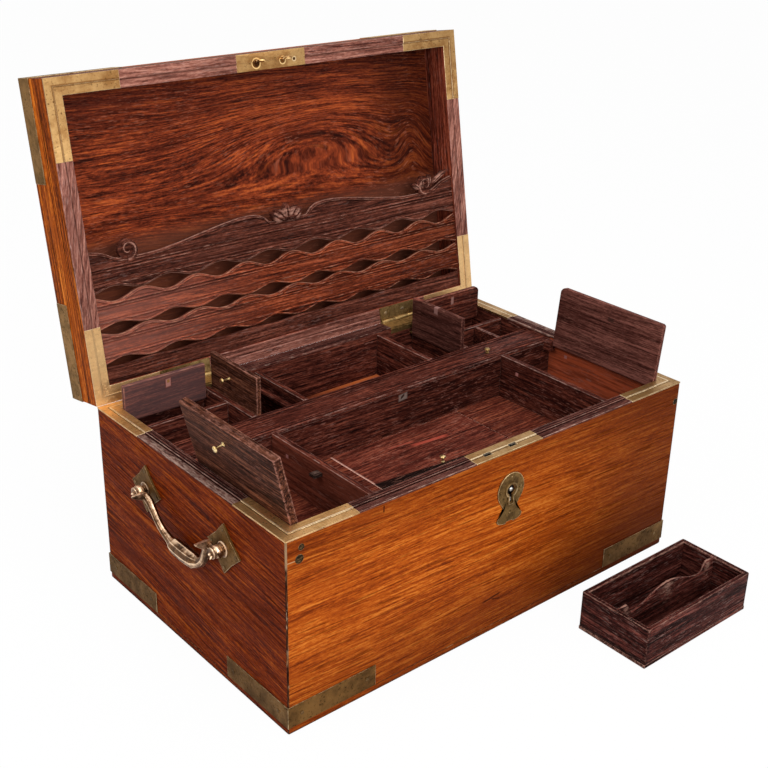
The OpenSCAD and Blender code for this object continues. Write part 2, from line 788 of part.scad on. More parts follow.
// A turned post: collar, neck, ball, end disc and a pointed tip, bored for the bail
module handle_post(y) {
    translate([-hw - plate_t, y, post_z]) difference() {
        rotate([0, -90, 0]) union() {
            cylinder(h = 1.6, r = ball_r + 1.5);
            cylinder(h = ball_out - plate_t, r = ball_r - 1.5);
            translate([0, 0, ball_out - plate_t]) sphere(r = ball_r);
            translate([0, 0, ball_out - plate_t + ball_r - 1.6]) cylinder(h = 1.6, r = ball_r - 0.5);
            translate([0, 0, ball_out - plate_t + ball_r - eps]) cylinder(h = 3, r1 = 1.6, r2 = 0.4);
        }
        translate([plate_t - ball_out, ball_r + 2, 0]) rotate([90, 0, 0])
            cylinder(h = 2 * ball_r + 4, r = bail_pin_r + pin_fit);
    }
}

module handle_posts() {
    color(bronze) for (m = [0, 1], s = [-1, 1]) mirror([m, 0, 0]) handle_post(s * post_gap / 2);
}

// A round bar along a row of points [y, z], with a slightly larger ball at each bend
bend_r = 0.3;
module bar(points, r) {
    for (i = [0 : len(points) - 2]) {
        a = points[i];
        d = points[i + 1] - a;
        translate([0, a[0], a[1]]) {
            sphere(r = r + bend_r, $fn = 24);
            rotate([atan2(-d[0], d[1]), 0, 0]) cylinder(h = norm(d), r = r, $fn = 24);
        }
    }
}

// One end of the bail: the pin in its ball, a leaf pointing outwards, and the arm that
// curves down to the grip's end at y = end
module bail_end(end) {
    py = post_gap / 2;
    top = py - ball_r - arm_r - 2;
    span = top - 4 - end;
    translate([0, top, 0]) rotate([-90, 0, 0]) cylinder(h = py + ball_r + 1 - top, r = bail_pin_r);
    translate([0, top + 2, 0]) rotate([90, 0, 0]) linear_extrude(4)
        polygon([[3, -4], [-0.6 * tab_l, -4.5], [-tab_l, 2.5], [-0.8 * tab_l, 4.5], [-0.3 * tab_l, 5.5],
                 [3, 4]]);
    bar([[top, 0], [end + span, -bail_drop * 0.2], [end + span * 0.75, -bail_drop * 0.55],
         [end + span * 0.4, -bail_drop * 0.85], [end, -bail_drop]], arm_r);
}

// The bail hangs from the balls; its thick grip has eight flats
module bail() {
    translate([-hw - ball_out, 0, post_z]) {
        bail_end(grip_l / 2 - grip_shift);
        mirror([0, 1, 0]) bail_end(grip_l / 2 + grip_shift);
        translate([0, -grip_shift + grip_l / 2 + 1, -bail_drop]) rotate([90, 0, 0]) rotate([0, 0, 22.5])
            cylinder(h = grip_l + 2, r = grip_r, $fn = 8);
    }
}

module left_bail() {
    color(bronze) bail();
}
module right_bail() {
    color(bronze) mirror([1, 0, 0]) bail();
}

// Round wooden plugs over the screws in the front board: [x, z, radius]
plug_t = 0.6;
plugs = [[-hw + plug_in, body_h - plug_drop, plug_r],
         [-hw + plug_in + plug_r / 2, body_h - plug_drop / 2, plug_r * 0.7],
         [hw - right_plug_in, body_h - plug_drop, plug_r * 0.8]];
module board_plugs() {
    color(rosewood) translate([0, -hd, 0]) rotate([90, 0, 0])
        for (p = plugs) translate([p[0], p[1], 0]) cylinder(h = plug_t, r = p[2]);
}

// Round heads on the straps, the handle plates and the keyhole plate
module brass_screws() {
    strap_z = bottom_t + strap_h / 2;
    color(dark_brass) {
        four_corners() {
            for (x = [14, strap_leg_x - 10]) translate([-hw + x, -hd - strap_t, strap_z])
                rotate([90, 0, 0]) screw_head(screw_proud);
            for (y = [14, strap_leg_y - 10]) translate([-hw - strap_t, -hd + y, strap_z])
                rotate([0, -90, 0]) screw_head(screw_proud);
        }
        for (m = [0, 1], s = [-1, 1], a = [0 : 90 : 270]) mirror([m, 0, 0])
            translate([-hw - plate_t, s * post_gap / 2 + (plate_half - 6) * cos(a),
                       post_z + (plate_half - 6) * sin(a)])
                rotate([0, -90, 0]) screw_head(screw_proud);
    }
}

module divider_pull() {
    color(brass) translate([pull_x, div_front + divider_w * 0.36, part_top]) rotate([0, 90, 0])
        knob(pull_h);
}

// Lid: boards, drawn shut in hinge coordinates with the rim at z = shut_gap / 2
lid_z0 = shut_gap / 2;
lid_board_z = lid_z0 + facing_t;
lid_top = lid_z0 + lid_h;
lid_under = lid_top - lid_top_t;

// Draws its children in the shut lid's frame, from the case's own plan
module in_lid() {
    open_lid() translate([0, -axis_y, 0]) children();
}

module lid_front_board() {
    color(timber) in_lid() block([-hw, -hd, lid_board_z], [hw, -hd + rim_w, lid_under]);
}

module lid_back_board() {
    color(timber) in_lid() difference() {
        block([-hw, hd - rim_w, lid_board_z], [hw, hd, lid_under]);
        translate([0, hd, 0]) knuckle_room();
    }
}

module lid_end_boards() {
    color(timber) in_lid() for (m = [0, 1]) mirror([m, 0, 0])
        block([-hw, -hd + rim_w, lid_board_z], [-in_x, hd - rim_w, lid_under]);
}

module lid_top_board() {
    color(flame) in_lid() block([-hw, -hd, lid_under], [hw, hd, lid_top]);
}

module lid_inner_panel() {
    color(flame) in_lid()
        block([-in_x, -hd + rim_w, lid_under - lid_panel_t], [in_x, hd - rim_w, lid_under]);
}

// The lid's rim faces down: its step is cut back, so that it fits the body's
module lid_rim_section_place() {
    translate([0, 0, lid_board_z]) mirror([0, 0, 1]) children();
}

module lid_rim_facing() {
    color(facing) in_lid() lid_rim_section_place()
        facing_strips(facing_t, -rim_step, link_plate_l, lock_x - 5);
}

module lid_corner_plates() {
    color(brass) in_lid() lid_rim_section_place() corner_plates(facing_t, -rim_step);
}

module lid_edge_straps() {
    color(dark_brass) in_lid() translate([0, 0, lid_top - lid_strap_h]) four_corners()
        corner_strap(strap_leg_x, strap_leg_y + 4, lid_strap_h - 1);
}

// Height of a waved edge at x: it meets its neighbour at x = 0 and at each full wave
function wave(x, h) = h * (1 - cos(360 * x / wave_l)) / 2;

// The crest's top at a distance u from the middle: under the leaf, up a swell, down a long
// slope to the scroll, and up again to the end
scroll_x = in_x - scroll_in;
leaf_low = crest_dip + 3.5;
function crest_edge(u) =
    let(a = leaf_w / 2, b = a + swell_w, c = scroll_x - 2 * scroll_r, d = scroll_x + 1.6 * scroll_r)
    u < a ? leaf_low
    : u < b ? leaf_low + (crest_top - leaf_low) * sin(90 * (u - a) / (b - a))
    : u < c ? crest_dip + (crest_top - crest_dip) * (1 + cos(180 * (u - b) / (c - b))) / 2
    : u < d ? crest_dip
    : crest_dip + end_rise * (1 - cos(90 * (u - d) / (in_x - d)));

// The upper edge of a rack board: a waved one, or the crest's where high is [0, 0]
function upper(x, high) = high[0] > 0 ? high[0] - wave(x, high[1]) : crest_edge(abs(x));

// A board of the rack: outline in x and in distance from the hinge edge
module rack_board(low, high, step) {
    n = floor(2 * in_x / step);
    xs = [for (i = [0 : n]) -in_x + 2 * in_x * i / n];
    in_lid() translate([0, hd, lid_z0 + rack_in]) mirror([0, 1, 0]) linear_extrude(rack_t)
        polygon(concat([for (x = xs) [x, low[0] + wave(x, low[1])]],
                       [for (i = [n : -1 : 0]) [xs[i], upper(xs[i], high)]]));
}

module rack_crest() {
    color(rosewood) {
        rack_board([crest_low + 0.25, wave_low], [0, 0], 4);
        in_lid() translate([0, hd, lid_z0 + rack_in]) mirror([0, 1, 0]) linear_extrude(rack_t) {
            for (m = [0, 1]) mirror([m, 0])
                translate([scroll_x, crest_dip + scroll_r / 2]) circle(r = scroll_r);
            for (k = [-1.5 : 1.5])
                translate([k * leaf_w / 5, leaf_low + leaf_w / 10 - abs(k)]) circle(r = leaf_w / 6);
        }
    }
}

module rack_slats() {
    color(flame) {
        rack_board([slat_meet + 0.25, wave_low], [crest_low - 0.25, wave_high], 5);
        rack_board([rail_meet + 0.25, wave_low], [slat_meet - 0.25, wave_high - 2], 5);
    }
}

module rack_rail() {
    color(rosewood) rack_board([rim_w, 0], [rail_meet - 0.25, 2], 5);
}

// The link plate on the lid's rim with its two hooks, each notched for the bolt's nose
module link_plate() {
    color(brass) in_lid() {
        lid_rim_section_place()
            rim_strip(lock_x - 5 - link_plate_l / 2, lock_x - 5 + link_plate_l / 2, facing_t, -rim_step);
        for (x = hook_x) translate([x, hook_y + hook_t / 2, lid_z0 + facing_t / 2]) rotate([90, 0, 0])
            linear_extrude(hook_t) difference() {
            union() {
                translate([-hook_w / 2, -hook_l + hook_w / 2]) square([hook_w, hook_l - hook_w / 2]);
                translate([0, -hook_l + hook_w / 2]) circle(r = hook_w / 2);
            }
            translate([-hook_w / 2 - 1, -9.4]) square([5, 3.6]);
        }
    }
}

module lid_hinge_leaves() {
    color(brass) open_lid() hinge_leaf([1], facing_t);
}

module floor_hatch() {
    color(flame) block([hatch_x0 + flap_gap, in_front + hatch_front_gap, hatch_z],
                       [hatch_x0 + hatch_w - flap_gap, div_front - flap_gap, hatch_z + hatch_t]);
}

module hatch_knob() {
    color(brass) translate([hatch_x0 + hatch_w / 2 - 3, peg_y, hatch_z + hatch_t])
        rotate([0, 90, 0]) knob(hatch_knob_l);
}

// The loose tray, drawn with its corner at the origin
module at_tray() {
    translate([tray_x, tray_y, 0]) children();
}

module tray_sides() {
    color(rosewood) at_tray() {
        block([0, 0, tray_floor_t], [tray_l, tray_wall, tray_h]);
        block([0, tray_d - tray_wall, tray_floor_t], [tray_l, tray_d, tray_h]);
        for (x = [0, tray_l - tray_wall])
            block([x, tray_wall, tray_floor_t], [x + tray_wall, tray_d - tray_wall, tray_h]);
    }
}

module tray_floor() {
    color(rosewood) at_tray() block([0, 0, 0], [tray_l, tray_d, tray_floor_t]);
}

// The handle divides the tray: a swell in the middle, a dip, and a scroll at each end
module tray_handle() {
    inner = tray_l - 2 * tray_wall;
    n = 40;
    rim = tray_h - tray_floor_t;
    function top(s) = let(u = abs(2 * s - 1)) u > 0.85 ? rim
        : u > 0.72 ? rim - 11 + 11 * (1 - cos(180 * (u - 0.72) / 0.13)) / 2
        : rim - 11 + 12.5 * (1 + cos(180 * u / 0.72)) / 2;
    color(rosewood) at_tray() translate([tray_wall, (tray_d + tray_handle_t) / 2, tray_floor_t])
        rotate([90, 0, 0])
        linear_extrude(tray_handle_t)
        polygon(concat([[0, 0]], [for (i = [0 : n]) [inner * i / n, top(i / n)]], [[inner, 0]]));
}

bottom_board();
front_board();
back_board();
left_board();
right_board();
rim_facing();
rim_corner_plates();
base_straps();
lining_boards();
bearer_strips();
till_floor();
centre_divider();
divider_capping();
rear_partitions();
well_partitions();
cross_rails();
front_partitions();
lid_pivot_pins();
lock_plate();
lock_case();
escutcheon();
body_hinge_leaves();
hinge_pins();
handle_plates();
handle_posts();
board_plugs();
brass_screws();
divider_pull();
lock_bolt();
lid_front_board();
lid_back_board();
lid_end_boards();
lid_top_board();
lid_inner_panel();
lid_rim_facing();
lid_corner_plates();
lid_edge_straps();
rack_crest();
rack_slats();
rack_rail();
link_plate();
lid_hinge_leaves();
left_corner_lid();
left_narrow_lid();
front_left_lid();
front_right_lid();
right_narrow_lid();
right_corner_lid();
left_narrow_knob();
front_left_knob();
front_right_knob();
right_narrow_knob();
right_corner_knob();
left_bail();
right_bail();
floor_hatch();
hatch_knob();
tray_sides();
tray_floor();
tray_handle();
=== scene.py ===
import math

import bmesh
import bpy
import numpy as np
from mathutils import Matrix, Vector


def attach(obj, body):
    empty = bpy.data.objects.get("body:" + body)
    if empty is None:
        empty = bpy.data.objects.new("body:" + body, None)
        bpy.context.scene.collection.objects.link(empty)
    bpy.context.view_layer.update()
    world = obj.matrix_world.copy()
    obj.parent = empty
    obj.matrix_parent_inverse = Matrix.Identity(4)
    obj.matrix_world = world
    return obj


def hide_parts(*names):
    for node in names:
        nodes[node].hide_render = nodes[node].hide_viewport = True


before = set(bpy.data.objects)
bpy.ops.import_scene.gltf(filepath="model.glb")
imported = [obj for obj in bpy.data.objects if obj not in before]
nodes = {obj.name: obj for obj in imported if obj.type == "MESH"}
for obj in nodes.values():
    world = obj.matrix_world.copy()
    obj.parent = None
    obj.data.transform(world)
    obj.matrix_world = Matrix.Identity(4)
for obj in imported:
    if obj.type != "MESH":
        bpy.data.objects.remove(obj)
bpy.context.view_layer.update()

# Camera: in front of the case and to its left, a little above it, where the photograph
# was taken from. Angles in degrees, places in metres, the lens for a 36 mm sensor.
camera_lens, camera_place = 58.17, (-0.737049, -0.843926, 0.722563)
camera_azimuth, camera_height, camera_roll = (math.radians(a) for a in (-40.397, 24.763, 1.199))
camera_back = np.array([math.sin(camera_azimuth) * math.cos(camera_height),
                        -math.cos(camera_azimuth) * math.cos(camera_height), math.sin(camera_height)])
camera_right = np.cross(-camera_back, [0, 0, 1])
camera_right /= np.linalg.norm(camera_right)
camera_up = np.cross(camera_right, -camera_back)
camera = bpy.data.objects.new("camera", bpy.data.cameras.new("camera"))
camera.data.lens = camera_lens
camera.matrix_world = Matrix.Translation(camera_place) @ Matrix((
    camera_right * math.cos(camera_roll) + camera_up * math.sin(camera_roll),
    camera_up * math.cos(camera_roll) - camera_right * math.sin(camera_roll),
    camera_back)).transposed().to_4x4()
scene = bpy.context.scene
scene.collection.objects.link(camera)
scene.camera = camera


# Floor and light: a white sheet under the case, large soft lamps in front, above and at the
# left, and an even sky. The sheet keeps a faint shadow.
class Wire:
    """A socket of a material. + - * / and ** on it, or on a number and it, add Math nodes."""

    def __init__(self, tree, socket=None):
        self.tree, self.socket = tree, socket

    def node(self, kind, settings=None, sockets=None, out=0):
        """A new node of a kind: its settings first, then its sockets' values or links."""
        made = self.tree.nodes.new("ShaderNode" + kind)
        for key, value in (settings or {}).items():
            if key == "stops":
                ramp = made.color_ramp.elements
                while len(ramp) < len(value):
                    ramp.new(0.5)
                for stop, (place, colour) in zip(ramp, value):
                    stop.position, stop.color = place, (*colour, 1)
            else:
                setattr(made, key, value)
        for key, value in (sockets or {}).items():
            if isinstance(value, Wire):
                self.tree.links.new(value.socket, made.inputs[key])
            else:
                made.inputs[key].default_value = value
        return Wire(self.tree, made.outputs[out] if len(made.outputs) else None)

    def maths(self, operation, *values):
        return self.node("Math", {"operation": operation}, dict(enumerate(values)))

    def __add__(self, other):
        return self.maths("ADD", self, other)

    __radd__ = __add__

    def __mul__(self, other):
        return self.maths("MULTIPLY", self, other)

    __rmul__ = __mul__

    def __sub__(self, other):
        return self.maths("SUBTRACT", self, other)

    def __rsub__(self, other):
        return self.maths("SUBTRACT", other, self)

    def __truediv__(self, other):
        return self.maths("DIVIDE", self, other)

    def __rtruediv__(self, other):
        return self.maths("DIVIDE", other, self)

    def __pow__(self, other):
        return self.maths("POWER", self, other)

    def __rpow__(self, other):
        return self.maths("POWER", other, self)

    def __abs__(self):
        return self.maths("ABSOLUTE", self)

    def least(self, other):
        return self.maths("MINIMUM", self, other)

    def most(self, other):
        return self.maths("MAXIMUM", self, other)

    def rise(self, low, high):
        """0 below low, 1 above high, smooth between; high below low turns it over."""
        return self.node("MapRange", {"interpolation_type": "SMOOTHSTEP"},
                         {"Value": self, "From Min": low, "From Max": high})

    def over(self, colour, factor, blend="MIX"):
        """This colour with another laid over it by a factor."""
        return self.node("Mix", {"data_type": "RGBA", "blend_type": blend},
                         {0: factor, 6: self, 7: colour}, out=2)

    def noise(self, scale, detail=2.0, rough=0.5):
        """Noise over this vector, with a number of cells per metre for each axis."""
        spread = self.node("Mapping", {}, {"Vector": self, "Scale": scale})
        return spread.node("TexNoise", {}, {"Vector": spread, "Scale": 1.0, "Detail": detail,
                                            "Roughness": rough})

    def parts(self):
        """The three parts of this vector."""
        split = self.node("SeparateXYZ", {}, {0: self})
        return [Wire(self.tree, split.socket.node.outputs[i]) for i in range(3)]


def ink(r, g, b):
    """A colour of the photograph's scale, 0 to 255, as the linear colour that a shader takes."""
    return tuple(c / 12.92 if c <= 0.04045 else ((c + 0.055) / 1.055) ** 2.4
                 for c in (v / 255 for v in (r, g, b)))


def new_material(name):
    """An empty material: its wire, its shader's node, and the object's own coordinates."""
    material = bpy.data.materials.new(name)
    material.use_nodes = True
    wire = Wire(material.node_tree)
    return material, wire, material.node_tree.nodes["Principled BSDF"], wire.node("TexCoord", out=3)


def feed(shader, **sockets):
    """Sets or links a shader's sockets; an underscore stands for a space in a name."""
    for key, value in sockets.items():
        socket = shader.inputs[key.replace("_", " ")]
        if isinstance(value, Wire):
            value.tree.links.new(value.socket, socket)
        else:
            socket.default_value = (*value, 1) if isinstance(value, tuple) else value


floor_half, sheet_share = 30.0, 0.97
floor_mesh = bpy.data.meshes.new("floor")
floor_mesh.from_pydata([(-floor_half, -floor_half, 0), (floor_half, -floor_half, 0),
                        (floor_half, floor_half, 0), (-floor_half, floor_half, 0)], [], [(0, 1, 2, 3)])
floor = bpy.data.objects.new("floor", floor_mesh)
scene.collection.objects.link(floor)
material, wire, shader, place = new_material("white_sheet")
feed(shader, Base_Color=(0.86, 0.86, 0.86), Roughness=0.9, Specular_IOR_Level=0.1)
seen = wire.node("LightPath")
glow = wire.node("Emission", {}, {"Color": (1, 1, 1, 1), "Strength": 1.0})
sheet = wire.node("MixShader", {}, {0: seen * sheet_share, 1: Wire(wire.tree, shader.outputs[0]), 2: glow})
wire.tree.links.new(sheet.socket, wire.tree.nodes["Material Output"].inputs[0])
floor_mesh.materials.append(material)

world = bpy.data.worlds.new("sky")
world.use_nodes = True
scene.world = world
wire = Wire(world.node_tree)
background = world.node_tree.nodes["Background"]
background.inputs["Color"].default_value = (1, 1, 1, 1)
rays = world.node_tree.nodes.new("ShaderNodeLightPath").outputs
plain_view = Wire(wire.tree, rays["Is Camera Ray"])
for kind in ("Is Glossy Ray", "Is Transmission Ray"):
    plain_view = plain_view.most(Wire(wire.tree, rays[kind]))
sky_strength = 0.45
wire.tree.links.new((plain_view * (1 - sky_strength) + sky_strength).socket, background.inputs["Strength"])

scene.view_settings.view_transform = "Standard"
lamp_aim = Vector((0, 0, 0.2))
for name, place_at, size, power in (("lamp_front", (-0.35, -1.7, 1.25), 1.0, 21),
                                    ("lamp_top", (0.1, -0.3, 2.3), 1.6, 20),
                                    ("lamp_left", (-1.5, 0.1, 1.5), 0.8, 9)):
    lamp = bpy.data.objects.new(name, bpy.data.lights.new(name, "AREA"))
    lamp.data.size, lamp.data.energy = size, power
    facing_aim = (Vector(place_at) - lamp_aim).to_track_quat("Z", "Y").to_matrix().to_4x4()
    lamp.matrix_world = Matrix.Translation(place_at) @ facing_aim
    scene.collection.objects.link(lamp)


# Case boards: 13 mm boards of an open-grained orange-brown hardwood, oiled and waxed. The
# front and back run the full width and cover the ends of the side boards.
x_axis, y_axis, z_axis = (1, 0, 0), (0, 1, 0), (0, 0, 1)
# Half the case's width and half its depth, in millimetres.
half_x, half_y = 250, 155


def wood(name, tones, grain=x_axis, across=y_axis, centre=(0, 0, 0), wave=1.0, band=0.3, run=10, dash=0.5,
         slant=0.0, dust=0.0, dust_colour=(150, 118, 110), worn=(150, 118, 108), gloss=0.5, shine=0.06,
         knots=(), stains_and_painted_light=()):
    """Wood that is solid right through. The board's own axes are its grain, across it and its
    thickness. Noise drawn out along the grain gives bands, streaks and fibres; a slow noise
    pushes them sideways, so that the lines wave; short noise cut off high gives dark pores.
    Stains and painted light are pairs of a mask over x, y, z and a colour. The mesh's own wear, where it is
    above 0, rubs it pale along its edges, and where it is less than 0 paints shade into its incised lines and
    the feet of its steps."""
    material, wire, shader, place = new_material(name)
    axes = Matrix((grain, across, Vector(grain).cross(Vector(across))))
    own = wire.node("Mapping", {}, {"Vector": place, "Rotation": axes.to_euler(),
                                    "Location": -(axes @ Vector(centre))})
    u, v, w = own.parts()
    drift = own.noise((1.8, 8, 8), 1.0) - 0.5
    side = v + drift * (0.02 * wave) + (own.noise((7, 30, 30), 1.0) - 0.5) * (0.004 * wave) + u * slant
    for at_u, at_v, half_u, half_v, push in knots:
        du, dv = (u - at_u) / half_u, (v - at_v) / half_v
        far = du * du + dv * dv
        side = side + far.maths("EXPONENT", 0 - far) * push
    line = own.node("CombineXYZ", {}, {0: u, 1: side, 2: w + drift * 0.02})
    bands = line.noise((0.2 * run, 46, 46), 2.0)
    streaks = line.noise((run, 300, 300), 2.0, 0.6)
    fibres = line.noise((2.5 * run, 640, 640), 1.0)
    grit = line.noise((150, 760, 760), 2.0, 0.8)
    tone = ((bands - 0.5) * (2.6 * band) + (streaks - 0.5) * 1.5 + (fibres - 0.5) * 1.3
            + (grit - 0.5) * 1.5 + 0.5)
    deep, dark, mid, light = (ink(*t) for t in tones)
    colour = tone.node("ValToRGB", {"stops": [(0.0, deep), (0.33, dark), (0.64, mid), (1.0, light)]},
                       {0: tone})
    colour = colour.over((*dark, 1), own.noise((16, 44, 44), 3.0).rise(0.45, 0.75) * 0.5)
    black = tuple(0.4 * c for c in deep)
    pores = line.noise((2.2 * run, 560, 560), 1.0).rise(0.58, 0.67)
    colour = colour.over((*black, 1), pores * dash)
    for mask, tint in stains_and_painted_light:
        colour = colour.over((*(black if tint is None else ink(*tint)), 1), mask(*place.parts()))
    if dust:
        scuff = line.noise((90, 620, 620), 2.0, 0.7).rise(0.56, 0.66)
        patch = own.noise((26, 26, 26), 2.0).rise(0.36, 0.66)
        colour = colour.over((*ink(*dust_colour), 1), scuff * (patch * 0.8 + 0.2) * dust)
    wear = wire.node("Attribute", {"attribute_name": "wear"}, out=2)
    ragged = own.noise((120, 420, 420), 3.0, 0.7)
    colour = colour.over((*ink(*worn), 1), (wear * 1.3 + (ragged - 0.5) * 2.2 - 0.4).rise(0.0, 0.9))
    colour = colour.over((*black, 1), (wear * -1).rise(0.15, 0.9))
    smear = own.noise((14, 60, 60), 3.0)
    bump = wire.node("Bump", {}, {"Strength": 0.45, "Distance": 0.00025,
                                  "Height": fibres * 0.6 + streaks * 0.5 - pores * 0.8})
    feed(shader, Base_Color=colour, Roughness=gloss + (smear - 0.5) * 0.3 + pores * 0.2, IOR=1.3,
         Specular_IOR_Level=shine, Normal=bump)
    return material


def dress(name, body, edge=None, round_off=0.0009, segments=2, where=None, faces=()):
    """Gives a CAD node its material, and a worn edge of its own material, rounded by a bevel on
    sharp edges or on those that where(ends) picks. Each test(centres, normals) in faces picks
    faces for another material. Places are in millimetres."""
    piece = nodes[name]
    mesh = piece.data
    mesh.materials.clear()
    for part in (body, edge or body, *(material for _, material in faces)):
        mesh.materials.append(part)
    centres, normals = np.empty(3 * len(mesh.polygons)), np.empty(3 * len(mesh.polygons))
    mesh.polygons.foreach_get("center", centres)
    mesh.polygons.foreach_get("normal", normals)
    index = np.zeros(len(mesh.polygons), np.int32)
    for number, (test, _) in enumerate(faces):
        index[test(centres.reshape(-1, 3) * 1000, normals.reshape(-1, 3))] = number + 2
    mesh.polygons.foreach_set("material_index", index)
    if round_off:
        weld = piece.modifiers.new("weld", "WELD")
        weld.merge_threshold = 1e-5
        bevel = piece.modifiers.new("bevel", "BEVEL")
        bevel.width, bevel.segments = round_off, segments
        bevel.limit_method, bevel.angle_limit = "ANGLE", math.radians(35)
        if where is not None:
            bevel.limit_method = "WEIGHT"
            corners, ends = np.empty(3 * len(mesh.vertices)), np.empty(2 * len(mesh.edges), np.int32)
            mesh.vertices.foreach_get("co", corners)
            mesh.edges.foreach_get("vertices", ends)
            picked = where(corners.reshape(-1, 3)[ends.reshape(-1, 2)] * 1000)
            weight = mesh.attributes.new("bevel_weight_edge", "FLOAT", "EDGE")
            weight.data.foreach_set("value", picked.astype(np.float32))
        if edge is not None:
            bevel.material = 1
    return piece


def upright(ends):
    """Edges of the case's four upright corners."""
    at_corner = (np.abs(ends[..., 0]) > half_x - 0.1) & (np.abs(ends[..., 1]) > half_y - 0.1)
    return at_corner.all(1) & (np.abs(ends[:, 0, 2] - ends[:, 1, 2]) > 1)


def wash(axis, none, full, strength=1.0):
    """A mask that grows along one axis, from nothing at one place to its strength at another, used for stains
    and for painted shade.
    """
    return lambda x, y, z: {"x": x, "y": y, "z": z}[axis].rise(none, full) * strength


def mark(plane, at_a, at_b, half_a, half_b, slope, strength=1.0):
    """A short mark in the plane of two axes, used for stains and for painted highlights: full within its two
    half widths about a place, along a slope, and soft at its edge."""
    def mask(x, y, z):
        a, b = ({"x": x, "y": y, "z": z}[axis] for axis in plane)
        da, db = a - at_a, b - at_b
        return (abs(da) / half_a).most(abs(db - da * slope) / half_b).rise(1.3, 0.8) * strength
    return mask


front_tones = ((110, 42, 6), (148, 63, 12), (178, 85, 20), (206, 116, 40))
side_tones = ((52, 13, 1), (88, 27, 2), (118, 42, 4), (154, 72, 14))
edge_tones = ((26, 12, 8), (48, 24, 14), (84, 48, 28), (150, 110, 76))
# On the front, painted shade darkens it towards the right, towards the top, and over its lower part, more on
# the right. It is also darker along its lowest 3 mm, and has dark marks and a pale scratch.
case_front = wood("case_front", front_tones, across=z_axis, centre=(0.31, 0, 0.07), slant=0.03, band=0.25,
                  stains_and_painted_light=((wash("x", -0.03, 0.24, 0.66), None),
                          (wash("z", 0.14, 0.195, 0.35), None),
                          (wash("z", 0.0035, 0.0015, 0.7), None),
                          (lambda x, y, z: z.rise(0.11, 0.0) * (0.62 + x * 1.2), None),
                          (mark("xz", -0.010, 0.040, 0.011, 0.0010, 0.12), None),
                          (mark("xz", -0.004, 0.0365, 0.005, 0.0008, -0.3), None),
                          (mark("xz", -0.1479, 0.1883, 0.0007, 0.003, 0), None),
                          (mark("xz", -0.2450, 0.1735, 0.0044, 0.0004, -0.05, 0.7), (196, 160, 116))))
# The side boards and the boards' ends take a darker, redder copy of the front's wood, which paints shade on
# them; their bottom edge is darker still.
case_side = wood("case_side", side_tones, grain=y_axis, across=z_axis, centre=(0.2, 0.41, 0.13), slant=-0.1,
                 dash=0.35, stains_and_painted_light=((wash("z", 0.0045, 0.002, 0.8), None),))
case_edge = wood("case_edge", edge_tones, grain=z_axis, across=x_axis, centre=(0.31, 0, 0.07), dust=0.5,
                 dust_colour=(206, 176, 146), run=30,
                 stains_and_painted_light=((wash("z", 0.166, 0.171, 0.5), (196, 160, 122)),))
# Near-black wood for the walls of the keyhole through the front board: painted shade in the hole.
keyhole_shade_wood = wood("keyhole_shade_wood", ((8, 5, 4), (12, 8, 6), (18, 11, 8), (26, 16, 12)))


def board_ends(centres, normals):
    """The ends of the boards that run the case's full width."""
    return (np.abs(normals[:, 0]) > 0.9) & (np.abs(centres[:, 0]) > half_x - 1)


def keyhole_walls(centres, normals):
    """The walls of the keyhole through the front board, which is 6 mm right of the middle."""
    return (np.abs(normals[:, 1]) < 0.5) & (np.abs(centres[:, 0] - 6) < 4)


end_grain = ((board_ends, case_side),)
dress("front_board", case_front, case_edge, 0.0014, 3, upright, end_grain + ((keyhole_walls, keyhole_shade_wood),))
dress("back_board", case_front, case_edge, 0.0014, 3, upright, end_grain)
dress("left_board", case_side, None, 0)
dress("right_board", case_side, None, 0)
bottom_edge = wood("bottom_edge", edge_tones, centre=(0.31, 0, 0.07), dust=0.3, dust_colour=(170, 130, 100))
dress("bottom_board", case_front, bottom_edge, 0.0008, 2, None, end_grain)


# Linings and bearers: rosewood boards inside the walls, dry and dusty, with strips glued to
# them that carry the till floor.
def streaky(x, y, z):
    """Level streaks, long and thin, for stains and painted light that keep the grain of the boards."""
    streaks = x.node("CombineXYZ", {}, {0: x, 1: y, 2: z}).noise((30, 14, 260), 3.0, 0.6)
    return streaks.rise(0.38, 0.6) * 0.6 + 0.4


def on_divider(mask):
    """A stain kept to the divider's front face."""
    return lambda x, y, z: mask(x, y, z) * y.rise(0.0135, 0.0125) * y.rise(0.010, 0.0115)


rose_tones = ((30, 10, 8), (58, 24, 18), (88, 42, 32), (128, 68, 52))
rose = dict(tones=rose_tones, dust=0.55, dust_colour=(150, 100, 88), gloss=0.55, band=0.3, run=14, dash=0.7)
rose_x = wood("rose_x", across=z_axis, centre=(0.5, 0.2, 0.3), stains_and_painted_light=(
    (lambda x, y, z: x.rise(-0.08, 0.08) * y.rise(0.0125, 0.0121) * y.rise(0.010, 0.0115) * 0.3, None),
    (on_divider(mark("xz", 0.017, 0.1825, 0.0052, 0.0034, 0.1, 0.8)), (128, 112, 104)),
    (on_divider(mark("xz", 0.0165, 0.1832, 0.0022, 0.0014, 0.6)), (34, 24, 22))), **rose)
